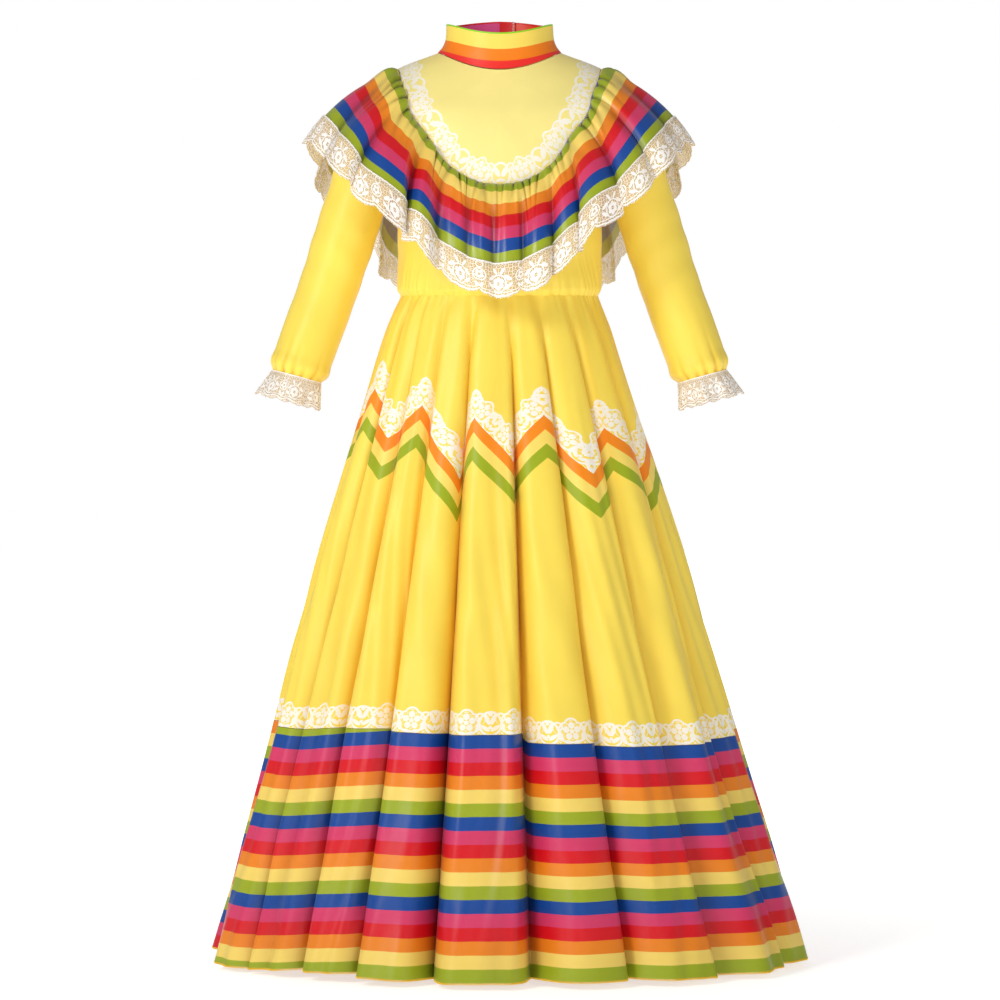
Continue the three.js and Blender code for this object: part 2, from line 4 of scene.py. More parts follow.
import bpy
import numpy as np
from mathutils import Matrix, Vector


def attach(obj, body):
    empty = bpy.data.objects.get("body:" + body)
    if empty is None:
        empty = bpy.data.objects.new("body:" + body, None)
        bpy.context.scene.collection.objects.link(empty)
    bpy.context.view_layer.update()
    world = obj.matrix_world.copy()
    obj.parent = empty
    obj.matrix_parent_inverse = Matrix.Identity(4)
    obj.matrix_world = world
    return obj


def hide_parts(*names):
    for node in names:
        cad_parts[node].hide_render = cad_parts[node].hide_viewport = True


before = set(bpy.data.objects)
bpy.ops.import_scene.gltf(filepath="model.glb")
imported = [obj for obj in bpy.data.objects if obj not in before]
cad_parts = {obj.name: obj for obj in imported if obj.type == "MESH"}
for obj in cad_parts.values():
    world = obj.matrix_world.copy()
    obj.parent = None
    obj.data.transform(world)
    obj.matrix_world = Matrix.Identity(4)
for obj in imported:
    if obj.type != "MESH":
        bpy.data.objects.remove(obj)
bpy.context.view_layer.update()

# Collar: a stand collar of striped satin, so green, yellow, orange and red run round it. It is
# folded double along its top edge. Its ends lap at the centre back, where white overlock thread
# binds the raw edges.
MM = 0.001  # sizes are in millimetres, and meshes in metres
CLOTH = 1.1  # how thick the sewn cloth is
BACK_LAP = 16  # how far the right back passes under the left
LAP_STEP = 2  # how much deeper the under lap lies
GREEN_ENDS, YELLOW_ENDS, ORANGE_ENDS = 1.7, 17.6, 30.4  # millimetres down from the fold
INNER_FOLD = 1.8  # how far down the red of the fold shows inside
COLLAR_LAP = 18  # degrees that the right end runs on past the centre back
COLLAR_CREASE = 0.35  # how far its faint creases sink


def sizes(columns, *rows):
    """A table of sizes. Its first column says where each row lies."""
    return dict(zip(columns.split(), np.array(rows, float).T))


def read(table, place, column):
    """A smooth curve through one column of a table."""
    key, value = next(iter(table.values())), table[column]
    rows = np.arange(len(key))
    before, after = np.maximum(rows - 1, 0), np.minimum(rows + 1, len(key) - 1)
    slope = (value[after] - value[before]) / (key[after] - key[before])
    low = np.clip(np.searchsorted(key, place, side="right") - 1, 0, len(key) - 2)
    width = key[low + 1] - key[low]
    t = np.clip((place - key[low]) / width, 0, 1)
    start = value[low] * (2 * t**3 - 3 * t**2 + 1) + width * slope[low] * (t**3 - 2 * t**2 + t)
    return start + value[low + 1] * (3 * t**2 - 2 * t**3) + width * slope[low + 1] * (t**3 - t**2)


def mix(first, second, share):
    return first + (second - first) * share


def smooth(low, high, value):
    """0 up to low, 1 from high on, and a soft rise between them."""
    t = np.clip((value - low) / (high - low), 0, 1)
    return t * t * (3 - 2 * t)


def grid(rows, columns):
    """Both values at each point of a sheet."""
    return np.meshgrid(rows, columns, indexing="ij")


def unit(vectors):
    return vectors / np.linalg.norm(vectors, axis=-1, keepdims=True)


def ring_point(table, place, angle):
    """A point on a ring round the body, flattened front to back. Angle 0 is the centre front."""
    across, ahead = np.sin(np.radians(angle)), np.cos(np.radians(angle))
    depth = np.where(ahead >= 0, read(table, place, "front"), read(table, place, "back"))
    middle = np.where(ahead >= 0, read(table, place, "front_up"), read(table, place, "back_up"))
    height = mix(read(table, place, "side_up"), middle, ahead**2)
    return np.stack([read(table, place, "half") * across, -depth * ahead, height], -1)


def outward(sheet, closed=False):
    """The direction out of the cloth at each point of a sheet, whose rows climb."""
    across = np.roll(sheet, -1, 1) - np.roll(sheet, 1, 1) if closed else np.gradient(sheet, axis=1)
    return unit(np.cross(across, np.gradient(sheet, axis=0)))


def run(sheet, axis):
    """How far along its rows (1) or columns (0) each point of a sheet lies, in metres."""
    steps = np.linalg.norm(np.diff(sheet, axis=axis), axis=-1)
    start = np.zeros_like(np.take(steps, [0], axis=axis))
    return np.concatenate([start, np.cumsum(steps, axis=axis)], axis=axis) * MM


def show(name, data):
    """Puts a mesh, lamp or camera into the scene."""
    thing = bpy.data.objects.new(name, data)
    bpy.context.scene.collection.objects.link(thing)
    return thing


def sew(name, sheet, cut, finish, thick=CLOTH, closed=False, marks=()):
    """Cloth of even thickness on a sheet of points, with its flat cut as its UV map, in metres."""
    rows, columns = sheet.shape[:2]
    normal = outward(sheet, closed)
    points = np.concatenate([sheet + normal * thick / 2, sheet - normal * thick / 2]) * MM

    def faces(*corners):
        return np.stack([np.stack(np.broadcast_arrays(*corner), -1) for corner in corners], 1)

    row, column = grid(np.arange(rows - 1), np.arange(columns if closed else columns - 1))
    r, c = row.ravel(), column.ravel()
    e, top = column[0], rows - 1
    parts = [
        faces((0, r, c), (0, r, c + 1), (0, r + 1, c + 1), (0, r + 1, c)),
        faces((1, r, c), (1, r + 1, c), (1, r + 1, c + 1), (1, r, c + 1)),
        faces((1, 0, e), (1, 0, e + 1), (0, 0, e + 1), (0, 0, e)),
        faces((0, top, e), (0, top, e + 1), (1, top, e + 1), (1, top, e)),
    ]
    if not closed:
        k, end = row[:, 0], columns - 1
        parts.append(faces((0, k, 0), (0, k + 1, 0), (1, k + 1, 0), (1, k, 0)))
        parts.append(faces((0, k, end), (1, k, end), (1, k + 1, end), (0, k + 1, end)))
    skin, row, column = np.moveaxis(np.concatenate(parts), -1, 0)
    corners = (skin * rows + row) * columns + column % columns
    mesh = bpy.data.meshes.new(name)
    mesh.from_pydata(points.reshape(-1, 3), [], corners.tolist())
    mesh.uv_layers.new(name="Cut").data.foreach_set("uv", cut[row, column].ravel())
    inside = np.repeat([0.0, 1.0], rows * columns)
    mesh.attributes.new("inside", "FLOAT", "POINT").data.foreach_set("value", inside)
    for mark, values in dict(marks).items():
        values = np.concatenate([values.reshape(rows * columns, -1)] * 2)
        if values.shape[1] == 1:
            mesh.attributes.new(mark, "FLOAT", "POINT").data.foreach_set("value", values.ravel())
        else:
            spot = mesh.attributes.new(mark, "FLOAT_VECTOR", "POINT")
            spot.data.foreach_set("vector", values.ravel())
    mesh.polygons.foreach_set("use_smooth", np.ones(len(mesh.polygons), bool))
    mesh.materials.append(finish)
    mesh.set_sharp_from_angle(angle=math.radians(65))
    return show(name, mesh)


def fit(piece, sheet, node, closed=False):
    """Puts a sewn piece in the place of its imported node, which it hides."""
    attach(piece, "root")
    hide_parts(node)
    if closed:
        sheet = np.concatenate([sheet, sheet[:, :1]], 1)
    across, up = np.diff(sheet, axis=1)[:-1], np.diff(sheet, axis=0)[:, :-1]
    width, length = np.median(run(sheet, 1)[:, -1]), np.median(run(sheet, 0)[-1])


def dye(code):
    """A dye's colour from its sRGB code."""
    parts = [int(code[i : i + 2], 16) / 255 for i in (0, 2, 4)]
    return tuple(((p + 0.055) / 1.055) ** 2.4 if p > 0.04045 else p / 12.92 for p in parts) + (1,)


def feed(tree, slot, source):
    """Wires a socket or a reading into a node's input, or gives the input a value."""
    source = source.socket if isinstance(source, Reading) else source
    if isinstance(source, bpy.types.NodeSocket):
        tree.links.new(source, slot)
    else:
        slot.default_value = source


def add_node(tree, kind, *fed, **settings):
    """A node with its settings. Each pair in fed names an input and what goes into it."""
    node = tree.nodes.new(kind)
    for name, value in settings.items():
        setattr(node, name, value)
    for name, source in fed:
        feed(tree, node.inputs[name], source)
    return node


class Reading:
    """A number that a finish works out at each point of the cloth."""

    def __init__(self, socket):
        self.socket = socket

    def work(self, operation, *others):
        fed, tree = enumerate((self, *others)), self.socket.id_data
        return Reading(add_node(tree, "ShaderNodeMath", *fed, operation=operation).outputs[0])

    __add__, __sub__ = partialmethod(work, "ADD"), partialmethod(work, "SUBTRACT")
    __mul__, __truediv__ = partialmethod(work, "MULTIPLY"), partialmethod(work, "DIVIDE")
    under, over = partialmethod(work, "LESS_THAN"), partialmethod(work, "GREATER_THAN")
    least, most = partialmethod(work, "MINIMUM"), partialmethod(work, "MAXIMUM")

    def size(self, other):
        return (self * self + other * other).work("SQRT")


def new_material(name):
    """A material, its node tree and its shader's sockets."""
    material = bpy.data.materials.new(name)
    material.use_nodes = True
    return material, material.node_tree, material.node_tree.nodes["Principled BSDF"].inputs


class Finish:
    """A woven or lace finish: its nodes, and the readings that its pattern needs."""

    def __init__(self, name, rough, sheen, specular=0.3):
        self.material, self.tree, self.shader = new_material(name)
        self.rough = rough
        self.give("Roughness", rough)
        self.give("Specular IOR Level", specular)
        self.give("Sheen Weight", sheen)
        self.give("Sheen Roughness", 0.35)
        self.cut = self.node("UVMap", uv_map="Cut").outputs[0]
        self.along, self.down = (Reading(s) * 1000.0 for s in self.parts(self.cut)[:2])

    def give(self, name, source):
        feed(self.tree, self.shader[name], source)

    def node(self, kind, *fed, **settings):
        return add_node(self.tree, "ShaderNode" + kind, *fed, **settings)

    def parts(self, vector):
        return self.node("SeparateXYZ", (0, vector)).outputs

    def mark(self, name, output="Fac"):
        return self.node("Attribute", attribute_name=name).outputs[output]

    def inside(self):
        return Reading(self.mark("inside")).over(0.5)

    def blend(self, share, first, second, kind="MIX"):
        """The first colour where the share is 0 and the second where it is 1."""
        fed = ("Factor", share), (6, first), (7, second)
        node = self.node("Mix", *fed, data_type="RGBA", blend_type=kind, clamp_factor=True)
        return node.outputs[2]

    def stripes(self, place, colours):
        """Dyed stripes, one for each whole number of the place."""
        count = len(colours)
        ramp = self.node("ValToRGB", (0, place.work("FLOORED_MODULO", float(count)) / count))
        bar = ramp.color_ramp
        bar.interpolation = "CONSTANT"
        for index, colour in enumerate(colours):
            stop = bar.elements[index] if index < 2 else bar.elements.new(0.99)
            stop.position = index / count
            stop.color = dye(colour)
        return ramp.outputs[0]

    def noise(self, scale, detail=2.0):
        """Steady cloudiness over the cut, with its scale in waves for each metre."""
        fed = ("Scale", scale), ("Detail", detail), ("Vector", self.cut)
        return Reading(self.node("TexNoise", *fed, noise_dimensions="3D").outputs[0])

    def paint_fold_shade(self, colour, tint):
        """Painted shade: deepens a colour inside a fold, where light passes from wall to wall."""
        shaded = self.blend(1.0, colour, tint, "MULTIPLY")
        return self.blend(Reading(self.mark("valley")), colour, shaded)

    def woven(self, colour, relief=0.00012, raised=None):
        """Gives the shader its dyed colour, uneven as real dye is, and its threads' relief."""
        cloud = self.noise(22.0, 3.0)
        tone = self.blend(cloud, (0.93, 0.93, 0.93, 1), (1.05, 1.05, 1.05, 1))
        self.give("Base Color", self.blend(1.0, colour, tone, "MULTIPLY"))
        warp = (self.along * (2 * math.pi / 0.9)).work("SINE")  # a thread each 0.9 mm
        weft = (self.down * (2 * math.pi / 0.7)).work("SINE")
        threads = warp * weft * 0.12 + self.noise(420.0, 2.0) * 0.5
        if raised is not None:
            threads = threads + raised
        fed = ("Strength", 0.5), ("Distance", relief), ("Height", threads)
        self.give("Normal", self.node("Bump", *fed).outputs[0])
        self.give("Roughness", self.noise(60.0) * 0.14 + (self.rough - 0.07))
        return self.material


GREEN, YELLOW_BAND, ORANGE, RED = map(dye, ("86c81e", "f2d45c", "ef7d18", "e8302a"))
PINK, SCARLET, DEEP_RED = map(dye, ("e0508c", "f2401c", "e0161c"))  # the inside
COLLAR_RINGS = sizes(
    "rise half front back front_up side_up back_up",
    (0, 67, 54, 50, -1, 22.5, 30),
    (0.25, 61, 52, 48.5, 9, 30, 38.5),
    (0.5, 58, 51.5, 48.5, 19, 38, 47),
    (1, 57, 52, 50, 39, 54, 64),
)
collar_angles = np.linspace(-180 - COLLAR_LAP, 180, 220)
rise, angle = grid(np.linspace(0.03, 1, 26), collar_angles)
collar_sheet = ring_point(COLLAR_RINGS, rise, angle)
tucked = smooth(180 - COLLAR_LAP, 179, -angle) * LAP_STEP
toward = unit(collar_sheet * (-1, -1, 0))
crease = np.sin(np.radians(angle * 7 + 40 * np.sin(rise * 3))) * np.sin(math.pi * rise)
collar_sheet += toward * (tucked + crease * COLLAR_CREASE)[..., None]
collar_down = run(collar_sheet[::-1], 0)[::-1]
collar_cut = np.stack([run(collar_sheet, 1), collar_down], -1)

satin = Finish("striped_satin_collar", rough=0.42, sheen=0.1)
turn = Reading(satin.mark("turn"))
outer = satin.blend(satin.down.over(YELLOW_ENDS), YELLOW_BAND, ORANGE)
outer = satin.blend(satin.down.over(ORANGE_ENDS), outer, RED)
outer = satin.blend(satin.down.under(GREEN_ENDS), outer, GREEN)
lining = satin.blend(turn.over(0.0), PINK, SCARLET)
lining = satin.blend(satin.down.under(INNER_FOLD), lining, DEEP_RED)
lining = satin.blend(turn.under(-180.0), lining, DEEP_RED)  # the end that laps under
satin.woven(satin.blend(satin.inside(), outer, lining))
collar = sew("collar_satin", collar_sheet, collar_cut, satin.material, marks={"turn": angle})
fit(collar, collar_sheet, "collar")

# Yoke: the smooth yellow upper part, cut in a deep U in front and open down the centre back.
# A border of lace is printed in white ink round the seam that carries the ruffle.
TORSO = sizes(
    "level half front back front_up side_up back_up",
    (0, 106, 86, 80, -243, -240, -241),
    (0.3, 110, 93, 84, -186, -184, -184),
    (0.55, 112, 95, 88, -122, -120, -118),
    (0.7, 130, 90, 88, -82, -70, -70),
    (0.82, 152, 80, 82, -52, -24, -34),
    (0.91, 112, 67, 66, -27, 4.5, 0),
    (1, 67, 54, 50, -1, 22.5, 30),
)
SEAM_FRONT = sizes(
    "along angle level",
    (-0.2, -16, 0.555),
    (0, 0, 0.53),
    (0.2, 16, 0.555),
    (0.4, 30, 0.635),
    (0.6, 36.5, 0.76),
    (0.8, 46, 0.86),
    (1, 90, 0.91),
    (1.2, 127, 0.775),
)
SEAM_BACK = sizes(
    "along angle level",
    (-0.2, 198, 0.505),
    (0, 180, 0.5),
    (0.2, 162, 0.505),
    (0.4, 146, 0.535),
    (0.6, 134, 0.62),
    (0.8, 127, 0.775),
    (1, 90, 0.91),
    (1.2, 46, 0.86),
)
SEAM = 0.5  # the gap between two panels at a seam
SIDE = 0.9998  # a panel stops just short of its side seam, which is at 1
TURN_MM, LEVEL_MM = 1.9, 260  # about how far a degree and a whole level go on the body
PRINT_DEPTH = 28  # of the yoke's lace border
PRINT_DRAWN = 26.0  # the height that a printed border's motifs are drawn for
# PALE_YELLOW is the yoke's yellow, paler than the rest of the dress's, and WHITE_INK its print.
PALE_YELLOW, WHITE_INK = dye("f8e68c"), dye("f8f1e4")


def seam_place(table, along, off=0.0):
    """Angle and level on the ruffle's seam, moved down (plus) or up (minus) across the body."""
    place = np.abs(along)
    turn = (read(table, place + 0.004, "angle") - read(table, place - 0.004, "angle")) * TURN_MM
    climb = (read(table, place + 0.004, "level") - read(table, place - 0.004, "level")) * LEVEL_MM
    scale = np.sign(turn) * off / np.hypot(turn, climb)
    angle = read(table, place, "angle") + scale * climb / TURN_MM
    return angle, read(table, place, "level") - scale * turn / LEVEL_MM


def off_body(angle, level, distance):
    """A point that stands off the body's surface by some millimetres."""
    top = np.minimum(level + 0.004, 1)
    across = ring_point(TORSO, level, angle + 0.2) - ring_point(TORSO, level, angle - 0.2)
    up = ring_point(TORSO, top, angle) - ring_point(TORSO, top - 0.008, angle)
    return ring_point(TORSO, level, angle) + unit(np.cross(across, up)) * distance[..., None]


def yoke_place(table, centre, along, up):
    angle, level = seam_place(table, along, -SEAM / 2)
    neck = mix(centre, 90, np.abs(along) ** 1.6)
    return np.where(along < 0, -1, 1) * mix(angle, neck, up), mix(level, 1, up), np.zeros_like(up)


def body_panels(rows, columns, half_width, place):
    """The front and both back halves of a part on the body. The right back tucks under."""
    up, along = grid(rows, np.linspace(-SIDE, SIDE, columns))
    panels = {"front": off_body(*place(SEAM_FRONT, 0, along, up))}
    up, along = grid(rows, np.linspace(SIDE, 0.001, columns // 2))
    panels["back_left"] = off_body(*place(SEAM_BACK, 180, along, up))
    under = -BACK_LAP / half_width * np.arange(0.25, 1.1, 0.25)
    up, along = grid(rows, np.append(np.linspace(SIDE, 0, columns // 2), under))
    angle, level, off = place(SEAM_BACK, 180, np.abs(along), up)
    sunk = off - LAP_STEP * (1 - smooth(0.005, 0.11, along))
    right = off_body(np.where(along < 0, 360 - angle, angle), level, sunk)
    panels["back_right"] = right[:, ::-1] * (-1, 1, 1)
    return panels


def disc(x, y, radius):
    """How far a point lies outside a disc. Motifs are read this way, and drawn where under 0."""
    return x.size(y) - radius


def line(outside, width):
    """The outline of a shape, drawn with some width."""
    return outside.work("ABSOLUTE") - width / 2


def flower(x, y, petals, reach, size):
    """A blossom of round petals. Its first petal points up."""
    radius = x.size(y)
    turn = x.work("ARCTAN2", y).work("PINGPONG", math.pi / petals)
    return disc(radius * turn.work("COSINE") - reach, radius * turn.work("SINE"), size)


def leaf(x, y, length, width, tilt):
    """A slim leaf that is turned by some degrees."""
    c, s = math.cos(math.radians(tilt)), math.sin(math.radians(tilt))
    lengthways, sideways = x * c + y * s, y * c - x * s
    return ((lengthways / length).size(sideways / width) - 1.0) * width


def curl(x, y, reach, pitch, width):
    """A line that winds in to the middle of a curl."""
    radius, turn = x.size(y), x.work("ARCTAN2", y)
    winding = (radius - turn * (pitch / (2 * math.pi))).work("PINGPONG", pitch / 2)
    return (winding - width / 2).most(radius - reach)


def together(shapes):
    return reduce(Reading.least, shapes)


def cells(finish, along, up, size):
    """How far a point lies from the thin lines between small rounded cells, in cell sizes."""
    place = finish.node("CombineXYZ", (0, along / size), (1, up / size)).outputs[0]
    fed = ("Vector", place), ("Scale", 1.0), ("Randomness", 0.75)
    pattern = finish.node("TexVoronoi", *fed, feature="DISTANCE_TO_EDGE", voronoi_dimensions="2D")
    return Reading(pattern.outputs["Distance"])


def printed_lace(finish, along, up, height, repeat=52.0, scrolls=False):
    """1 where white ink lies on a printed lace border, whose scalloped edge is some height up."""
    scale = PRINT_DRAWN / height
    x = (along * scale).work("PINGPONG", repeat / 2)
    y = up * scale
    blossom = flower(x, y - 12.0, 5, 5.7, 3.1)
    tip = x - repeat / 2
    arch = leaf(tip, y - 10.5, 11.0, 10.4, 90)
    scroll = disc(x - 12.6, y - 15.5, 5.2)
    inside = together([blossom - 4.2, arch, scroll, y - 8.0])
    drawn = [
        blossom,
        disc(x, y - 12.0, 2.2),
        line(blossom - 3.4, 1.9),
        line(arch, 2.2),
        curl(x - 12.6, y - 15.5, 6.1, 4.7, 1.8),
        leaf(x - 11.4, y - 6.6, 4.6, 2.2, 62),
        leaf(x - 4.2, y - 2.2, 3.4, 1.5, 12),
    ]
    if scrolls:
        drawn += [
            leaf(tip + 3.0, y - 14.8, 5.6, 2.2, -66),
            disc(tip, y - 19.6, 2.0),
            leaf(tip + 4.6, y - 6.2, 4.8, 1.9, -32),
            disc(tip, y - 7.0, 1.7),
        ]
    else:
        drawn += [leaf(tip + 4.6, y - 12.5, 5.6, 2.7, -52), leaf(tip + 1.0, y - 4.6, 4.2, 1.5, 15)]
    motifs = together(drawn)
    filler = cells(finish, x, y, 3.4).over(0.16) * motifs.over(0.9) * arch.over(0.6)
    return motifs.under(0.0).most(filler * inside.under(0.0)) * up.over(0.0)


front_line = off_body(*seam_place(SEAM_FRONT, np.linspace(0, 1, 241)), np.zeros(241))
back_line = off_body(*seam_place(SEAM_BACK, np.linspace(1, 0, 241)[1:]), np.zeros(240))
half_line = np.concatenate([front_line, back_line])
seam_line = np.concatenate([(half_line * (-1, 1, 1))[:0:-1], half_line])
seam_run = run(seam_line[None], 1)[0]


def yoke_cut(sheet):
    """How far along the ruffle's seam each point lies, and how far in from it."""
    flat = sheet.reshape(-1, 3)
    away = np.linalg.norm(flat[:, None] - seam_line[None, ::2], axis=-1)
    nearest = away.argmin(1)
    spot = np.stack([seam_run[::2][nearest], away.min(1) * MM], -1)
    return spot.reshape(*sheet.shape[:2], 2)


satin = Finish("yellow_satin_yoke", rough=0.55, sheen=0.2, specular=0.25)
ink = printed_lace(satin, satin.along, satin.down, PRINT_DEPTH)
shown = ink * (satin.inside() * -0.75 + 1.0)  # it shows faintly through to the inside
satin.woven(satin.blend(shown, PALE_YELLOW, WHITE_INK))
yoke_rows = np.concatenate([np.linspace(0, 0.5, 30), np.linspace(0.5, 0.998, 16)[1:]])
for side, sheet in body_panels(yoke_rows, 150, 150, yoke_place).items():
    name = f"yoke_{side}"
    piece = sew(name + "_cloth", sheet, yoke_cut(sheet), satin.material)
    fit(piece, sheet, name)

# Bodice: yellow satin from the ruffle's seam to the waist, gathered into the waist seam.
# Half an armhole is cut into each side edge, and the centre back is open and lapped.
YELLOW = dye("f8db58")
ARMHOLE = {"middle": 0.752, "reach": 0.148, "angle": 32}  # shares of the panel's height, degrees
PUCKER_RISE, DRAPE_RISE, BLOUSE_RISE = 4.6, 1.8, 3.2  # how far each stands out


def gathers(place, far, count, span, seed, long=(0.25, 1.0), sharp=1.0):
    """Irregular small puckers, 1 at their strongest, drawn up by a thread where far is 0."""
    chance = np.random.default_rng(seed)
    low, high = span
    step = (high - low) / count
    total = np.zeros(np.broadcast(place, far).shape)
    for centre in low + step * (np.arange(count) + 0.5 + chance.uniform(-0.28, 0.28, count)):
        width = step * chance.uniform(0.26, 0.42) / sharp
        reach = chance.uniform(*long)
        height = chance.uniform(0.5, 1.0)
        total += height * np.exp(-(((place - centre) / width) ** 2) - far / reach)
    return total


def bodice_place(table, centre, along, up):
    share, side = np.abs(along), np.where(along < 0, -1, 1)
    angle, level = seam_place(table, along, SEAM / 2)
    reach = np.clip((up - ARMHOLE["middle"]) / ARMHOLE["reach"], -1, 1)
    notch = ARMHOLE["angle"] * np.sqrt(1 - reach**2) * share**7 * (-1 if centre == 0 else 1)
    body = side * (mix(mix(centre, 90, share), angle, up) + notch)
    pucker = gathers(along, up, 40, (-1, 1), 5, (0.04, 0.12)) * (0.4 + 0.6 * smooth(0, 0.04, up))
    drape = np.sin(along * 17 + 2 * np.sin(along * 5))
    drape = drape * smooth(0, 0.25, up) * (1 - smooth(0.5, 0.9, up))
    blouse = BLOUSE_RISE * smooth(0, 0.06, up) * (1 - smooth(0.1, 0.3, up))
    inner = 1 - smooth(0.9, 1, share)
    gathered = (pucker * PUCKER_RISE + drape * DRAPE_RISE) * inner
    return body, up * level, gathered + blouse - 0.6


bodice_satin = Finish("yellow_satin_bodice", rough=0.45, sheen=0.12).woven(YELLOW)
armhole_rows = ARMHOLE["middle"] + ARMHOLE["reach"] * np.cos(np.radians(np.linspace(180, 0, 25)))
below, above = np.linspace(0, armhole_rows[0], 40), np.linspace(armhole_rows[-1], 1, 6)
bodice_rows = np.concatenate([below[:-1], armhole_rows, above[1:]])
for side, sheet in body_panels(bodice_rows, 220, 160, bodice_place).items():
    name = f"bodice_{side}"
    piece = sew(name + "_cloth", sheet, np.stack([run(sheet, 1), run(sheet, 0)], -1), bodice_satin)
    fit(piece, sheet, name)

# Sleeves: long tubes of the yellow satin, set into the armholes and narrowed towards the wrist.
# Elastic under the last seam draws the cloth up into short puckers.
SLEEVE = sizes(
    "share x y z half deep tilt own",
    (0, 125, 0, -70, 50, 42, 58, 0),
    (0.1, 142, 0, -82.5, 46, 42, 56, 1),
    (0.22, 148, 0, -113, 33.5, 40, 27, 1),
    (0.45, 166, -2, -172, 32.5, 38.5, 18, 1),
    (0.67, 185, -6, -232, 31.5, 37, 18, 1),
    (0.85, 203, -14, -284, 31.5, 36, 20, 1),
    (0.95, 213, -18, -313, 30.5, 35, 18, 1),
    (1, 217.5, -20, -326, 27, 30, 15, 1),
)
SLEEVE_TURNS = 144
WRIST_PUFF, WRIST_PUCKER, SLEEVE_CREASE = 2.2, 4.2, 0.45  # how far each rises or sinks
FOLD_SHADE_YELLOW = (0.88, 0.62, 0.2, 1)  # painted shade: what the yellow turns to between the walls of a fold


def sleeve_centre(share):
    return np.stack([read(SLEEVE, share, axis) for axis in "xyz"], -1)


def sleeve_point(share, turn):
    """A point of the left sleeve. Turn 0 is its outer edge, and 90 its front."""
    round_, tilt = np.radians(turn), np.radians(read(SLEEVE, share, "tilt"))
    across = np.cos(round_) * read(SLEEVE, share, "half")
    deep = np.sin(round_) * read(SLEEVE, share, "deep")
    ring = np.stack([across * np.cos(tilt), -deep, across * np.sin(tilt)], -1)
    tube = sleeve_centre(share) + ring
    shoulder = read(SEAM_FRONT, 1.0, "level")

    def armhole(round_):
        up = (ARMHOLE["middle"] + ARMHOLE["reach"] * np.cos(round_)) * shoulder
        return ring_point(TORSO, up, 90 - ARMHOLE["angle"] * np.sin(round_))

    middle = mix(armhole(np.array(math.pi / 2)), armhole(np.array(-math.pi / 2)), 0.5)
    edge = mix(middle, armhole(round_), 0.97)
    own = np.clip(read(SLEEVE, share, "own"), 0, 1)[..., None]
    return mix(edge, tube, own)


def mirror(sheet):
    """The right-hand piece of a pair."""
    return (sheet * (-1, 1, 1))[:, ::-1]


def closed_cut(sheet):
    """The flat cut of a tube, laid open along its seam."""
    opened = np.concatenate([sheet, sheet[:, :1]], 1)
    return np.stack([run(opened, 1), run(opened, 0)], -1)


turns = np.linspace(360, 0, SLEEVE_TURNS, endpoint=False)
share, turn = grid(np.linspace(1, 0, 110), turns)
sleeve_sheet = sleeve_point(share, turn)
pucker = sum(
    gathers(turn + shift, 1 - share, 16, (0, 360), 9, (0.02, 0.06), 1.9) for shift in (-360, 0, 360)
)
puff = WRIST_PUFF * smooth(0.92, 0.965, share) * (1 - 1.3 * smooth(0.975, 1, share))
at_elbow, at_top = (
    np.exp(-(((share - middle) / reach) ** 2)) for middle, reach in ((0.52, 0.2), (0.18, 0.1))
)
crease = np.sin(share * 46 + 3.2 * np.sin(np.radians(turn + 50))) * at_elbow
crease += 1.3 * np.sin(share * 24 + 5 * np.sin(np.radians(turn - 30))) * at_top
crease += 0.8 * np.sin(np.radians(turn * 5) + share * 9) * smooth(0.6, 0.95, share)
shaped = (puff - pucker * WRIST_PUCKER + crease * SLEEVE_CREASE)[..., None]
sleeve_sheet += unit(sleeve_sheet - sleeve_centre(share)) * shaped
satin = Finish("yellow_satin_sleeves", rough=0.45, sheen=0.12)
# Painted shade deepens the yellow in the wrist's puckers, by the valley mark below.
satin.woven(satin.paint_fold_shade(YELLOW, FOLD_SHADE_YELLOW))
for side, sheet in {"left": sleeve_sheet, "right": mirror(sleeve_sheet)}.items():
    marks = {"valley": np.clip(pucker if side == "left" else pucker[:, ::-1], 0, 1)}
    cut, name = closed_cut(sheet), f"sleeve_{side}_cloth"
    piece = sew(name, sheet, cut, satin.material, closed=True, marks=marks)
    fit(piece, sheet, f"sleeve_{side}", True)

# Wrist frills: galloon lace, gathered and sewn round the end of each sleeve.
# The lace is a net of fine thread with thicker flowers and leaves, and a scalloped edge.
LACE = 0.9  # how thick the lace is
LACE_DRAWN = 44.0  # the depth that the lace's motifs are drawn for
# The lace's own cream, painted darker and warmer in the open net as painted shade, and lighter on
# the thick threads as a painted highlight.
NET_CREAM_AND_SHADE, THREAD_CREAM_AND_HIGHLIGHT = dye("e8cc9c"), dye("fffaf4")
FRILL = {"length": 29, "flare": 6.5, "waves": 7, "swell": 3.5, "repeat": 35.6, "rows": 16}


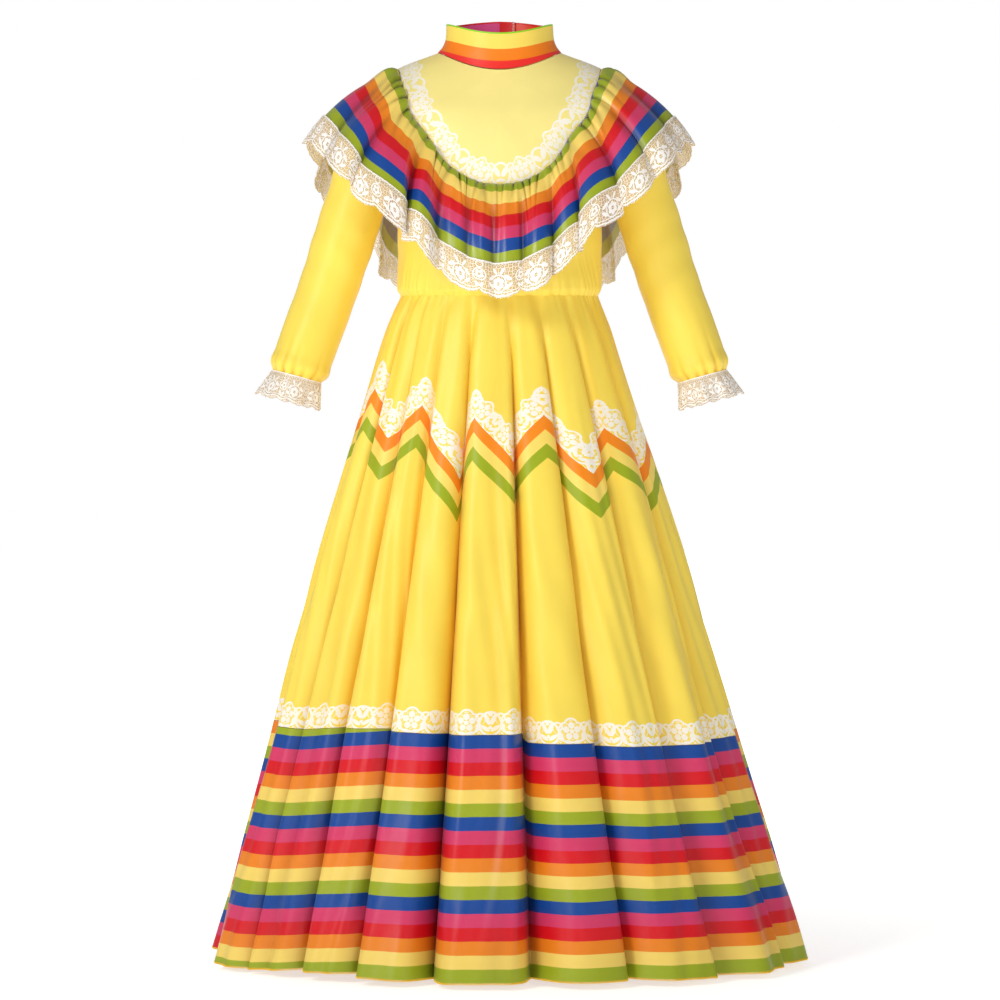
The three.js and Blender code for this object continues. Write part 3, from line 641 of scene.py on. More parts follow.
def lace_finish(name, depth, repeat):
    """Cream lace. Its cut runs along the edging, and down to the scallops at its depth."""
    lace = Finish(name, rough=0.75, sheen=0.15, specular=0.2)
    scale = depth / LACE_DRAWN
    x = (lace.along / scale).work("PINGPONG", repeat / scale / 2)
    y = lace.down / scale
    tip = x - repeat / scale / 2
    drawn = [
        flower(x, y * -1.0 + 27.0, 6, 5.2, 3.0),
        line(disc(x, y - 27.0, 10.6), 1.6),
        leaf(x - 13.0, y - 21.0, 5.6, 2.3, 35),
        leaf(x - 13.5, y - 31.0, 5.4, 2.2, -30),
        leaf(x - 5.6, y - 12.0, 5.0, 1.9, -50),
        flower(tip, y - 20.0, 5, 4.0, 2.3),
        line(disc(tip, y - 20.0, 8.0), 1.4),
        leaf(tip + 3.0, y - 34.0, 4.6, 1.9, 60),
        line(disc(tip, y - 6.0, 4.6), 1.2),
        line(y - 41.4, 2.0),
        line(y - 37.6, 1.0),
        line(y - 1.4, 1.8),
    ]
    thread = together(drawn).under(0.0)
    small = cells(lace, x, y, 4.6)
    sprigs = small.over(0.4).most(small.under(0.09))
    net = cells(lace, x, y, 1.5).under(0.2)
    cover = thread.most(sprigs * 0.9).most(net * 0.36 + 0.1)
    # Partly the lace's cream, partly painted light: a painted highlight on thick thread and painted
    # shade in the net.
    shade = lace.blend(thread.most(sprigs * 0.7), NET_CREAM_AND_SHADE, THREAD_CREAM_AND_HIGHLIGHT)
    lace.give("Alpha", cover)
    return lace.woven(shade, 0.0004, thread * 1.8 + sprigs)


frill_lace = lace_finish("cream_lace_frills", FRILL["length"], FRILL["repeat"])
down, turn = grid(np.linspace(FRILL["length"], 0.4, FRILL["rows"]), turns)
part = down / FRILL["length"]
wrist_axis = unit(np.array([0.3, -0.1, -0.95]))
start = sleeve_point(np.ones_like(turn), turn)
wave = np.cos(np.radians(turn * FRILL["waves"]))
ruffling = 0.9 * np.sin(np.radians(turn * 19)) * np.sqrt(part)
swell = part * (FRILL["flare"] + FRILL["swell"] * wave) + ruffling
scallop = 1.4 * part**3 * np.cos(np.radians(turn * 14))
frill_sheet = start + unit(start - sleeve_centre(np.ones_like(turn))) * swell[..., None]
frill_sheet += wrist_axis * (down + scallop)[..., None]
along = closed_cut(frill_sheet)[:1, :, 0].repeat(FRILL["rows"], 0)
frill_cut = np.stack([along, np.pad(down, ((0, 0), (0, 1)), "edge") * MM], -1)
for side, sheet in {"left": frill_sheet, "right": mirror(frill_sheet)}.items():
    piece = sew(f"cuff_lace_{side}_net", sheet, frill_cut, frill_lace, LACE, closed=True)
    fit(piece, sheet, f"cuff_lace_{side}", True)

# Ruffle: a wide strip of the rainbow-striped satin, gathered into the yoke's seam and left to
# fall. It runs in one piece from the centre back over both shoulders and round the front.
STRIPE = {
    "blue": "0f4696",
    "pink": "d63a66",
    "red": "d80e1c",
    "orange": "ec841c",
    "yellow": "f4d468",
    "green": "9cab20",
}
WRONG_SIDE = dye("f0e0c8")  # the satin's paler back
RUFFLE_STRIPES = ("green", "yellow", "orange", "red", "pink", "blue", "green", "yellow")
RUFFLE_STRIPE, RUFFLE_FIRST = 13.7, 13.0  # how wide the stripes are, and the first one's end
RUFFLE_LENGTH = 2.3  # metres of striped cloth gathered into the seam
RUFFLE_DEPTH, LACE_END = 98, 128  # from the seam to the satin's edge, and to the lace's
RUFFLE_STAND = 3  # how far the seam stands off the body
PUFF_RISE, PLEAT_SINK, CREASE_RISE = 4.8, 6.4, 2.8
PLEAT_MM = 96  # the pleats' and creases' lengths are shares of this
RUFFLE_SHADE = (0.3, 0.26, 0.3, 1)  # painted shade that a fold's inner walls put on the stripes
# Turn 0 is the centre front, 1 the shoulder and 2 the centre back. Heading and slopes are degrees.
RUFFLE_FALL = sizes(
    "turn heading slope_top slope_end",
    (0, 0, 48, 99),
    (0.33, 8, 44, 94),
    (0.5, 20, 36, 84),
    (0.67, 40, 28, 72),
    (0.85, 60, 22, 62),
    (1, 90, 23, 61),
    (1.1, 117, 34, 79),
    (1.25, 127, 42, 88),
    (1.44, 136, 40, 88),
    (1.65, 160, 44, 92),
    (2, 180, 50, 94),
)
RUFFLE_FOLDS = sizes(
    "at depth rise pinch lean",
    (-2, 4, 6, 0.3, 0),
    (-1.85, 8, 7, 0.5, 0),
    (-1.68, 6, 6, 0.4, 0),
    (-1.5, 10, 8, 0.5, 0),
    (-1.33, 7, 6, 0.5, 0.15),
    (-1.18, 9, 7, 0.5, 0),
    (-1.05, 6, 3, 0.4, 0),
    (-0.87, 9, 5, 0.6, 0.15),
    (-0.72, 8, 8, 0.6, 0.28),
    (-0.52, 22, 8, 0.6, 0),
    (-0.37, 4, 3, 0.3, 0),
    (-0.2, 2, 2, 0.2, 0),
    (-0.04, 2, 2, 0.2, 0),
    (0.14, 4, 5, 0.4, 0),
    (0.32, 9, 6, 0.6, 0),
    (0.46, 10, 7, 0.6, -0.28),
    (0.61, 11, 7, 0.65, -0.15),
    (0.76, 9, 6, 0.6, 0),
    (0.9, 8, 3, 0.5, 0),
    (1.06, 6, 6, 0.4, 0),
    (1.22, 9, 7, 0.5, -0.15),
    (1.38, 7, 7, 0.5, 0),
    (1.54, 10, 6, 0.5, 0),
    (1.7, 6, 7, 0.4, 0),
    (1.86, 8, 6, 0.5, 0),
    (2, 4, 6, 0.3, 0),
)


def fold_at(folds, place, flat=1.35):
    """How far a fold moves the cloth out and along, its lean, and its depth from 0 to 1."""
    at = folds["at"]
    low = np.clip(np.searchsorted(at, place, side="right") - 1, 0, len(at) - 2)
    width = at[low + 1] - at[low]
    phase = (place - at[low]) / width
    valley = np.where(phase < 0.5, low, low + 1)
    wave = ((1 + np.cos(2 * math.pi * phase)) / 2) ** flat
    out = folds["rise"][low] * (1 - wave) - folds["depth"][valley] * wave
    along = -width * folds["pinch"][valley] * np.sin(2 * math.pi * phase) / (2 * math.pi)
    return out, along, width * folds["lean"][low] * (1 - wave), wave


def ruffle_plain(turn, down):
    """The ruffle without its folds: it leaves the seam and bends down in an arc."""
    size, side = np.minimum(np.abs(turn), 2), np.where(turn < 0, -1, 1)
    in_front = seam_place(SEAM_FRONT, np.minimum(size, 1))
    behind = seam_place(SEAM_BACK, np.minimum(2 - size, 1))
    angle, level = (np.where(size <= 1, *pair) for pair in zip(in_front, behind))
    start = off_body(angle, level, np.full_like(level, RUFFLE_STAND))
    first = np.radians(read(RUFFLE_FALL, size, "slope_top"))
    bend = (np.radians(read(RUFFLE_FALL, size, "slope_end")) - first) / LACE_END
    now = first + bend * down
    reach = (np.sin(now) - np.sin(first)) / bend
    drop = (np.cos(first) - np.cos(now)) / bend
    heading = np.radians(read(RUFFLE_FALL, size, "heading"))
    move = np.stack([reach * np.sin(heading), -reach * np.cos(heading), -drop], -1)
    return (start + move) * np.stack([side, np.ones_like(side), np.ones_like(side)], -1)


def ruffle_point(turn, down, extra):
    share = down / LACE_END
    out, along, lean, _ = fold_at(RUFFLE_FOLDS, turn)
    moved = turn + along * np.minimum(1, share * 1.6) + lean * share
    after, before = ruffle_plain(moved + 0.05, down), ruffle_plain(moved - 0.05, down)
    below = ruffle_plain(moved, down + 1) - ruffle_plain(moved, down - 1)
    normal = unit(np.cross(below, after - before))
    growth = np.maximum(share, 0) ** 0.85
    on_shoulder = 0.8 * np.exp(-(((np.abs(moved) - 1) / 0.1) ** 2))[..., None]
    place = mix(ruffle_plain(moved, down), (after + before) / 2, on_shoulder)
    return place + normal * (out * growth + extra)[..., None]


def pleats(turn, down):
    """The thin creases that the thread draws into the ruffle's top: 1 at their deepest."""
    slant = 0.0011 * down * np.sin(turn * 31)
    return gathers(turn + slant, down / PLEAT_MM, 66, (-2, 2), 21, (0.09, 0.3), 2.1)


def ruffle_crease(turn, down):
    """The puffs between pleats, the creases that run on down, and the slack between folds."""
    puff = smooth(-4, 7, down) * (1 - smooth(10, 40, down))
    long = gathers(turn, down / PLEAT_MM, 58, (-2, 2), 22, (0.4, 1.5), 1.5)
    long = long * CREASE_RISE * smooth(-6, 12, down)
    chance = np.random.default_rng(23)
    slack = sum(
        chance.uniform(0.8, 1.5) * np.sin(turn * beat + chance.uniform(0, 6.3))
        for beat in (17, 26, 37)
    )
    lifted = PUFF_RISE * puff - PLEAT_SINK * pleats(turn, down) * smooth(-3, 4, down)
    return lifted + (long - 0.9) * (1 - smooth(70, 124, down)) + slack * smooth(10, 90, down)


def rainbow_satin(satin, place, stripes, tint):
    """Satin in dyed stripes, paler on its wrong side, with painted shade that deepens them in its
    folds.
    """
    colour = satin.paint_fold_shade(satin.stripes(place, [STRIPE[name] for name in stripes]), tint)
    return satin.woven(satin.blend(satin.inside() * 0.35, colour, WRONG_SIDE))


turns = np.linspace(-1.997, 1.997, 960)
down, turn = grid(np.linspace(RUFFLE_DEPTH, 0, 44), turns)
ruffle_sheet = ruffle_point(turn, down, ruffle_crease(turn, down))
pleat = pleats(turn, down)
uneven = np.random.default_rng(25).uniform(-2.4, 2.4, len(RUFFLE_FOLDS["at"]))
step = np.interp(turn, RUFFLE_FOLDS["at"], uneven) * smooth(10, 50, down)
ruffle_cut = np.stack([turn / 4 * RUFFLE_LENGTH, (down + 4.5 * pleat - 1.6 + step) * MM], -1)
satin = Finish("rainbow_satin_ruffle", rough=0.36, sheen=0.08, specular=0.55)
place = (satin.down - RUFFLE_FIRST) / RUFFLE_STRIPE + 1.0
striped = rainbow_satin(satin, place, RUFFLE_STRIPES, RUFFLE_SHADE)
# How deep each point lies in a fold or pleat, which sets the painted shade there.
valley = fold_at(RUFFLE_FOLDS, turn)[3] ** 3 * 0.7 * smooth(0, 60, down) + pleat * 1.5
marks = {"valley": np.clip(valley, 0, 1)}
ruffle = sew("ruffle_satin", ruffle_sheet, ruffle_cut, striped, marks=marks)
fit(ruffle, ruffle_sheet, "ruffle")

# Ruffle edging: a deep scalloped lace, laid over the ruffle's cut edge and stitched along its
# top. It follows the ruffle's folds, and its scallops hang free.
LACE_START, LACE_MIDDLE = 94, 110  # below the ruffle's seam
LACE_ROWS = 24
SCALLOPS = {"count": 34, "size": 3.4, "small": 1.2}
share, turn = grid(np.linspace(1, 0, LACE_ROWS), turns)
level = np.full_like(turn[:1], LACE_MIDDLE)
middle = ruffle_point(turn[:1], level, ruffle_crease(turn[:1], LACE_MIDDLE))
edging_run = run(middle, 1)
repeat = edging_run.max() / SCALLOPS["count"]
lobe = np.abs(np.cos(math.pi * edging_run / repeat)) ** 0.7
small_lobe = np.abs(np.cos(math.pi * edging_run / repeat * 5)) ** 0.7
scallop = (SCALLOPS["size"] * (lobe * 2 - 1.3) + small_lobe * SCALLOPS["small"]) * share**2
down = mix(LACE_START, LACE_END, share) + scallop
flutter = 0.8 * np.sin(turn * 57) * share + 0.5 * np.sin(turn * 91 + 2) * share
lace_sheet = ruffle_point(turn, down, ruffle_crease(turn, down) + flutter)
lace_sheet += outward(lace_sheet) * 1.7  # it lies on the satin
lace_depth = LACE_END - LACE_START
lace_cut = np.stack([edging_run.repeat(LACE_ROWS, 0), share * lace_depth * MM], -1)
edging = lace_finish("cream_lace_edging", lace_depth, repeat / MM)
ruffle_lace = sew("ruffle_lace_net", lace_sheet, lace_cut, edging, LACE)
fit(ruffle_lace, lace_sheet, "ruffle_lace")

# Skirt: two flared panels of yellow satin that hang in deep folds from the waist seam.
# A zigzag of three bands is printed round the hips under a lace border, and a second printed lace
# border runs above the hem band.
SKIRT_RINGS = sizes(
    "down right left front back",
    (0, 106, 106, 86, 80),
    (0.03, 116, 112, 91, 86),
    (0.15, 139, 137, 109, 106),
    (0.33, 173, 176, 132, 135),
    (0.65, 229, 240, 174, 184),
    (1, 292, 315, 217, 240),
)
SKIRT_FOLDS = sizes(
    "at depth rise pinch lean",
    (-94, 24, -4, 0.6, 0),
    (-76, 16, 20, 0.5, -0.2),
    (-60, 22, 12, 0.75, -0.24),
    (-45, 8, 9, 0.3, -0.12),
    (-30, 9, 12, 0.35, -0.2),
    (-14.6, 31, 14, 0.82, 0),
    (6.2, 28, 14, 0.78, 0.26),
    (23.2, 23, 14, 0.75, 0.27),
    (42.7, 23, 14, 0.75, 0.26),
    (64.8, 20, 14, 0.7, 0.2),
    (84, 18, 15, 0.6, 0),
    (103, 16, 14, 0.6, 0.15),
    (120, 22, 12, 0.7, 0),
    (138, 14, 12, 0.5, -0.15),
    (156, 24, 14, 0.75, 0.18),
    (173, 14, 12, 0.5, 0),
    (190, 22, 14, 0.7, -0.2),
    (208, 15, 12, 0.5, 0.15),
    (227, 24, 20, 0.7, -0.15),
    (247, 12, 24, 0.6, 0),
    (266, 24, -4, 0.6, 0),
)
HEM_UP, HEM_LIFT = -953, 16  # the hem's height, and how much higher it hangs at the right back
BAND_SHARE = 0.65  # the hem band's seam, as a share of the way from waist to hem
SEAM_SHARE = 0.0004  # the gap on each side of that seam
FRONT_SKEW = 0.08  # how much deeper the front hangs on the left side than on the right
SKIRT_LENGTH = 735  # of cloth from waist to hem
SKIRT_FLAT = 2.3  # the higher it is, the flatter the folds' faces and the narrower the gaps
SKIRT_SWAY = np.random.default_rng(41).uniform(0, 9, len(SKIRT_FOLDS["at"]))  # each valley's lift
SKIRT_DROOP = (4.5, 8, 21, 25, 60, 88, 110), (0, 10, 11, 14, 16, 12, 0)  # at these angles
PANELS = {"front": (-75.96, 83.96), "back": (84.04, 283.96)}  # the side seams lie in folds
HIP_LACE, HEM_LACE = {"height": 24.5, "repeat": 38.0}, {"height": 29.0, "repeat": 46.0}
ZIGZAG_BAND = 15.5  # how high each of its three bands stands
ZIGZAG_YELLOW, ZIGZAG_ORANGE = dye("f5d868"), dye("f28a1e")
TOOTH_RUN = 76.0  # about how much border runs along one side of a tooth
SLANT = 0.62  # how much of a height on the slanted zigzag is square to it
# Corners of the zigzag's upper edge: the angle round the skirt and the share of the way down.
PEAKS = sizes(
    "angle down",
    (-96, 0.17),
    (-67.6, 0.14),
    (-35, 0.166),
    (-7.6, 0.184),
    (17.4, 0.18),
    (49.9, 0.2),
    (84, 0.19),
    *((angle, 0.18) for angle in range(114, 235, 30)),
    (264, 0.17),
    (292.4, 0.14),
)
VALLEYS = sizes(
    "angle down",
    (-110, 0.25),
    (-82, 0.22),
    (-50.3, 0.215),
    (-16.9, 0.276),
    (2.8, 0.25),
    (35.3, 0.268),
    (69, 0.265),
    *((angle, 0.262) for angle in range(99, 220, 30)),
    (250, 0.25),
    (278, 0.22),
)


def fold_turn(angle):
    """The same place round the skirt, counted on from the first fold."""
    start = SKIRT_FOLDS["at"][0]
    return (angle - start) % 360 + start


def skirt_point(angle, down):
    fold_place = fold_turn(angle)
    out, along, lean, _ = fold_at(SKIRT_FOLDS, fold_place, SKIRT_FLAT)
    turned = np.radians(angle + along * np.minimum(1, down / 0.1) + lean * down**0.6)
    across, ahead = np.sin(turned), np.cos(turned)
    side = np.where(across < 0, read(SKIRT_RINGS, down, "right"), read(SKIRT_RINGS, down, "left"))
    front = read(SKIRT_RINGS, down, "front") * (1 + FRONT_SKEW * across * down)
    depth = np.where(ahead < 0, read(SKIRT_RINGS, down, "back"), front)
    away = unit(np.stack([depth * across, -side * ahead, np.zeros_like(down)], -1))
    lift = HEM_LIFT * 2 * np.maximum(0, -across) * np.maximum(0, -ahead)
    waist = ring_point(TORSO, np.zeros_like(angle), angle)[..., 2] + 0.2
    middle = np.stack([side * across, -depth * ahead, mix(waist, HEM_UP + lift, down)], -1)
    turn = np.radians(angle)
    ripple = 2.9 * np.sin(turn * 29 + 2.2 * np.sin(turn * 7)) + 1.7 * np.sin(turn * 47 + 3 * down)
    ripple += 0.8 * np.sin(turn * 83 + 5 * np.sin(down * 7) + 3 * np.sin(turn * 11))
    broad = 2.0 * np.sin(turn * 5 + down * 9) * smooth(0.3, 1, down)
    ripple = ripple * smooth(0.02, 0.5, down) + broad
    sway = np.interp(fold_place, SKIRT_FOLDS["at"], SKIRT_SWAY) * smooth(0.1, 0.7, down)
    droop = np.interp(angle, *SKIRT_DROOP) * smooth(0.25, 0.6, down)
    middle[..., 2] += sway - droop * (1 - smooth(0.7, 1, down))
    place, below = (angle + 94) % 360, smooth(0, 0.06, down)
    drawn = gathers(place, down, 74, (0, 360), 31, (0.015, 0.06)) * 1.6 - 0.8 * (1 - below)
    drawn += gathers(place, down, 40, (0, 360), 33, (0.12, 0.4)) * 2.6 * below
    return middle + away * (out * down**0.62 + ripple + drawn)[..., None]


def skirt_valley(angle, down):
    """How deep in a fold each point lies, from 0 on a ridge to 1, which sets the painted shade
    there.
    """
    turn = np.radians(angle)
    small = 0.5 - 0.5 * np.sin(turn * 29 + 2.2 * np.sin(turn * 7))
    deep = fold_at(SKIRT_FOLDS, fold_turn(angle))[3] ** 4
    return np.clip(deep * 0.85 * smooth(0, 0.3, down) + small**3 * 0.25, 0, 1)


def zigzag_mark(angle, down):
    """The zigzag's count of teeth, and how far a point lies above its peaks and its valleys."""
    corners = np.sort(np.concatenate([PEAKS["angle"], VALLEYS["angle"]]))
    angle = angle + fold_at(SKIRT_FOLDS, fold_turn(angle), SKIRT_FLAT)[2] * down**0.6
    teeth = np.interp(angle, corners, np.arange(len(corners)) / 2)
    peaks = np.interp(angle, PEAKS["angle"], PEAKS["down"]) - down
    valleys = np.interp(angle, VALLEYS["angle"], VALLEYS["down"]) - down
    return np.stack([teeth, peaks * SKIRT_LENGTH, valleys * SKIRT_LENGTH], -1)


satin = Finish("printed_satin_skirt", rough=0.42, sheen=0.1)
teeth, above_peak, above_valley = map(Reading, satin.parts(satin.mark("zigzag", "Vector")))
climb = teeth.work("PINGPONG", 0.5) * 2.0
height = above_valley + (above_peak - above_valley) * climb
bands = satin.blend(height.over(-2 * ZIGZAG_BAND), dye(STRIPE["green"]), ZIGZAG_YELLOW)
bands = satin.blend(height.over(-ZIGZAG_BAND), bands, ZIGZAG_ORANGE)
on_bands = height.under(0.0) * height.over(-3 * ZIGZAG_BAND)
along = climb * TOOTH_RUN + height * 0.8
repeat = HIP_LACE["repeat"] * PRINT_DRAWN / HIP_LACE["height"]
hip_lace = printed_lace(satin, along, height * SLANT, HIP_LACE["height"], repeat, True)
up = satin.down * -1.0 + (BAND_SHARE * SKIRT_LENGTH)
hem_lace = printed_lace(satin, satin.along, up, HEM_LACE["height"], HEM_LACE["repeat"], True)
ink = hip_lace.most(hem_lace) * (satin.inside() * -0.8 + 1.0)
printed = satin.blend(ink, satin.blend(on_bands, YELLOW, bands), WHITE_INK)
# Painted shade deepens the printed yellow inside the folds.
satin.woven(satin.paint_fold_shade(printed, FOLD_SHADE_YELLOW))
for side, (low, high) in PANELS.items():
    down, angle = grid(np.linspace(BAND_SHARE - SEAM_SHARE, 0, 100), np.linspace(low, high, 420))
    sheet = skirt_point(angle, down)
    band_seam = skirt_point(angle, np.full_like(down, BAND_SHARE))
    cut = np.stack([run(band_seam, 1), down * SKIRT_LENGTH * MM], -1)
    marks = {"zigzag": zigzag_mark(angle, down), "valley": skirt_valley(angle, down)}
    piece = sew(f"skirt_{side}_cloth", sheet, cut, satin.material, marks=marks)
    fit(piece, sheet, f"skirt_{side}")

# Hem bands: eighteen rainbow stripes of satin, sewn below each skirt panel.
# The back band is cut at another stripe, so its colours step at the side seams.
HEM_STRIPES = ("blue", "pink", "red", "orange", "yellow", "green")
HEM_STRIPE_COUNT = 18
BACK_STEP = 3  # the back band starts three stripes on
FRONT_DRIFT = -0.55  # of a stripe, by which the front band is cut askew towards the right
# Painted shade: what the folds' inner walls do to the hem band's stripes.
HEM_SHADE = (0.55, 0.5, 0.55, 1)
for side, (low, high) in PANELS.items():
    down, angle = grid(np.linspace(1, BAND_SHARE + SEAM_SHARE, 46), np.linspace(low, high, 420))
    sheet = skirt_point(angle, down)
    stripe = (down - BAND_SHARE) / (1 - BAND_SHARE) * HEM_STRIPE_COUNT
    stripe += smooth(18, 55, -angle) * FRONT_DRIFT if side == "front" else BACK_STEP
    satin = Finish(f"rainbow_satin_hem_{side}", rough=0.34, sheen=0.05, specular=0.5)
    place = Reading(satin.mark("stripe"))
    striped = rainbow_satin(satin, place, HEM_STRIPES, HEM_SHADE)
    cut = np.stack([run(sheet, 1), (down - BAND_SHARE) * SKIRT_LENGTH * MM], -1)
    marks = {"stripe": stripe, "valley": skirt_valley(angle, down)}
    piece = sew(f"hem_band_{side}_satin", sheet, cut, striped, marks=marks)
    fit(piece, sheet, f"hem_band_{side}")

# Stitching: yellow overlock binds the hem, cream thread runs along the top of each lace, and
# white and blue overlock binds the raw edges at the collar's lap and the ruffle's seam.
# Each stitch is a short twist of thread laid beside the last one along its seam.
STITCH_SIZES = ("Spacing", "Length", "Thickness", "Slant")  # three in millimetres, one in degrees
HEM_STITCH = (2.2, 3.2, 2.0, 78)
RUFFLE_LACE_STITCH, WRIST_LACE_STITCH = (3.2, 2.2, 0.5, 0), (3.0, 2.0, 0.5, 0)
COLLAR_STITCH, RUFFLE_STITCH = (1.7, 3.0, 0.7, 70), (1.5, 2.4, 0.9, 65)
THREADS = {"yellow": "f2c42c", "cream": "efe6d6", "white": "f4f2ee", "blue": "1a55b4"}


def stitch_tree():
    """Lays a stitch at every step along a seam, turned across it by the slant."""
    tree = bpy.data.node_groups.new("stitches_along_a_seam", "GeometryNodeTree")
    for name, way, kind in (
        ("Seam", "INPUT", "Geometry"),
        *((size, "INPUT", "Float") for size in STITCH_SIZES),
        ("Thread", "INPUT", "Material"),
        ("Stitches", "OUTPUT", "Geometry"),
    ):
        tree.interface.new_socket(name, in_out=way, socket_type="NodeSocket" + kind)

    def put(kind, *fed, **settings):
        return add_node(tree, kind, *fed, **settings).outputs

    given = put("NodeGroupInput")
    path = put("GeometryNodeMeshToCurve", (0, given["Seam"]))[0]
    fed = ("Curve", path), ("Length", given["Spacing"])
    steps = put("GeometryNodeResampleCurve", *fed, mode="LENGTH")[0]
    along = put("GeometryNodeInputTangent")[0]
    lying = put("FunctionNodeAlignRotationToVector", ("Vector", along), axis="Z")[0]
    away = put("GeometryNodeInputNamedAttribute", ("Name", "outward"), data_type="FLOAT_VECTOR")[0]
    fed = ("Rotation", lying), ("Vector", away)
    facing = put("FunctionNodeAlignRotationToVector", *fed, axis="X", pivot_axis="Z")[0]
    slant = put("ShaderNodeCombineXYZ", (0, given["Slant"]))[0]
    fed = ("Rotation", facing), ("Rotate By", slant)
    turned = put("FunctionNodeRotateRotation", *fed, rotation_space="LOCAL")[0]
    grain = put("GeometryNodeMeshUVSphere", ("Segments", 6), ("Rings", 4), ("Radius", 0.5))["Mesh"]
    thick, length = given["Thickness"], given["Length"]
    scale = put("ShaderNodeCombineXYZ", (0, thick), (1, thick), (2, length))[0]
    fed = ("Points", steps), ("Instance", grain), ("Rotation", turned), ("Scale", scale)
    laid = put("GeometryNodeInstanceOnPoints", *fed)[0]
    real = put("GeometryNodeRealizeInstances", (0, laid))[0]
    dyed = put("GeometryNodeSetMaterial", ("Geometry", real), ("Material", given["Thread"]))[0]
    put("NodeGroupOutput", (0, dyed))
    return tree


def thread_finish(name, colour):
    """Twisted polyester thread, slightly shiny, with the twist as relief."""
    thread, tree, shader = new_material(name)
    place = add_node(tree, "ShaderNodeTexCoord").outputs["Object"]
    twist = add_node(tree, "ShaderNodeTexNoise", ("Scale", 1400.0), ("Vector", place)).outputs[0]
    tone = add_node(tree, "ShaderNodeValToRGB", (0, twist))
    for stop, share in zip(tone.color_ramp.elements, (0.82, 1.0)):
        stop.color = tuple(part * share for part in dye(colour)[:3]) + (1,)
    bump = add_node(tree, "ShaderNodeBump", ("Distance", 0.0001), ("Height", twist))
    feed(tree, shader["Roughness"], 0.5)
    feed(tree, shader["Base Color"], tone.outputs[0])
    feed(tree, shader["Normal"], bump.outputs[0])
    return thread


def stitch(name, path, away, stitch_sizes, finish):
    """Sews a line of stitches along a path of points, and keeps it as a plain mesh."""
    mesh = bpy.data.meshes.new(name + "_path")
    mesh.from_pydata(path * MM, [(i, i + 1) for i in range(len(path) - 1)], [])
    mesh.attributes.new("outward", "FLOAT_VECTOR", "POINT").data.foreach_set("vector", away.ravel())
    guide = show(name + "_guide", mesh)
    modifier = guide.modifiers.new("stitches", "NODES")
    modifier.node_group = stitches
    *lengths, slant = stitch_sizes
    values = dict(zip(STITCH_SIZES, [length * MM for length in lengths] + [math.radians(slant)]))
    values["Thread"] = finish
    for item in stitches.interface.items_tree:
        if item.in_out == "INPUT" and item.name in values:
            modifier[item.identifier] = values[item.name]
    sewn = guide.evaluated_get(bpy.context.evaluated_depsgraph_get())
    made = bpy.data.meshes.new_from_object(sewn)
    bpy.data.objects.remove(guide)
    made.name = name
    piece = show(name, made)
    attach(piece, "root")


def along_row(sheet, row, lift):
    """A line along one row of a sheet, lifted off its outer face."""
    away = outward(sheet)[row]
    return sheet[row] + away * lift, away


stitches = stitch_tree()
yellow, cream, white, blue = (
    thread_finish(name + "_thread", colour) for name, colour in THREADS.items()
)
for side, (low, high) in PANELS.items():
    down, angle = grid((1.003, 1.001, 0.999), np.linspace(low, high, 900))
    path, away = along_row(skirt_point(angle, down), 1, 0.0)
    stitch(f"hem_overlock_{side}", path, away, HEM_STITCH, yellow)
path, away = along_row(lace_sheet, -2, LACE / 2)
stitch("lace_stitches_ruffle", path, away, RUFFLE_LACE_STITCH, cream)
for side, sheet in {"left": frill_sheet, "right": mirror(frill_sheet)}.items():
    away = outward(sheet, True)[-2]
    path = sheet[-2] + away * 0.5
    stitch(f"lace_stitches_wrist_{side}", path, away, WRIST_LACE_STITCH, cream)
inward = -outward(collar_sheet)
for name, column in {"lap": 1, "end": -2}.items():
    away = inward[2:, column]
    path = collar_sheet[2:, column] + away * 0.7
    stitch(f"collar_overlock_{name}", path, away, COLLAR_STITCH, white)
down, turn = grid((1.6, 0.8, 0.0), np.linspace(0.4, 0.86, 200))
raw_edge = ruffle_point(turn, down, np.full_like(turn, 1.4))
path, away = along_row(raw_edge, 1, 0.4)
stitch("ruffle_overlock", path, away, RUFFLE_STITCH, blue)

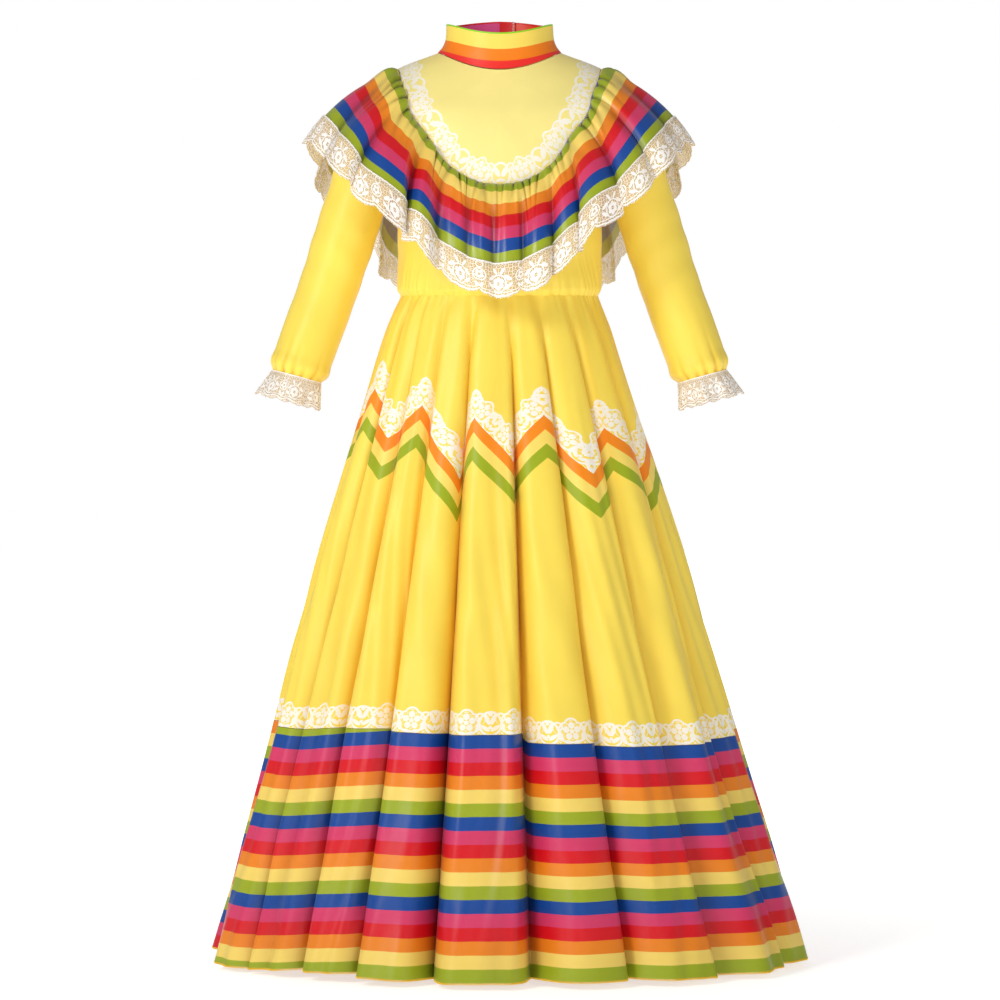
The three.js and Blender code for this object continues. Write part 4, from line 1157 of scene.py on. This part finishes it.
# Studio: a pale floor, a pale surround and soft lamps. The camera stands level in front of the
# dress. The floor glows a little more with distance, so that it meets the surround without a line.
WHITE = (1, 1, 1, 1)
SURROUND_GLOW = 0.24
FLOOR_UP, FLOOR_REACH = -0.957, 30
FLOOR_GLOW = {"From Min": 0.75, "From Max": 1.8, "To Min": 0.45, "To Max": 1.1}
LAMPS = {  # where each stands, its watts and its width
    "key": ((-2.2, -2.7, 1.2), 58, 1.0),
    "fill": ((1.2, -3.4, 0.3), 19, 1.4),
    "back": ((-0.4, 2.6, 1.8), 16, 2.0),
}
LAMPS_AIM = (0, 0, -0.4)
CAMERA_PLACE = (0.0005, -3.75, -0.459)
world = bpy.context.scene.world or bpy.data.worlds.new("studio")
bpy.context.scene.world = world
world.use_nodes = True
tree = world.node_tree
surround = tree.nodes["Background"]
feed(tree, surround.inputs["Color"], WHITE)
feed(tree, surround.inputs["Strength"], SURROUND_GLOW)
seen = add_node(tree, "ShaderNodeBackground", ("Color", WHITE))
straight = add_node(tree, "ShaderNodeLightPath").outputs["Is Camera Ray"]
fed = (0, straight), (1, surround.outputs[0]), (2, seen.outputs[0])
choice = add_node(tree, "ShaderNodeMixShader", *fed)
feed(tree, tree.nodes["World Output"].inputs[0], choice.outputs[0])
floor_mesh = bpy.data.meshes.new("floor")
square = np.array([(-1, -1), (1, -1), (1, 1), (-1, 1)]) * FLOOR_REACH
floor_mesh.from_pydata([(x, y, FLOOR_UP) for x, y in square], [], [(0, 1, 2, 3)])
floor = show("floor", floor_mesh)
paint, tree, shader = new_material("pale_floor")
spot = add_node(tree, "ShaderNodeTexCoord").outputs["Object"]
far = add_node(tree, "ShaderNodeVectorMath", (0, spot), operation="LENGTH").outputs["Value"]
glow = add_node(tree, "ShaderNodeMapRange", ("Value", far), *FLOOR_GLOW.items())
feed(tree, shader["Base Color"], (0.9, 0.9, 0.9, 1))
feed(tree, shader["Roughness"], 0.9)
feed(tree, shader["Emission Color"], WHITE)
feed(tree, shader["Emission Strength"], glow.outputs["Result"])
floor_mesh.materials.append(paint)
for name, (place, power, width) in LAMPS.items():
    lamp = bpy.data.lights.new(name, "AREA")
    lamp.energy, lamp.size = power, width
    holder = show(name, lamp)
    holder.location = place
    holder.visible_glossy = name == "key"  # the others only soften the shadows
    toward = Vector(LAMPS_AIM) - Vector(place)
    holder.rotation_euler = toward.to_track_quat("-Z", "Y").to_euler()
lens = bpy.data.cameras.new("camera")
lens.lens, lens.sensor_width, lens.clip_end = 125, 36, 100
camera = show("camera", lens)
camera.location = CAMERA_PLACE
camera.rotation_euler = (math.radians(90), 0, 0)
bpy.context.scene.camera = camera
bpy.context.scene.view_settings.view_transform = "Standard"
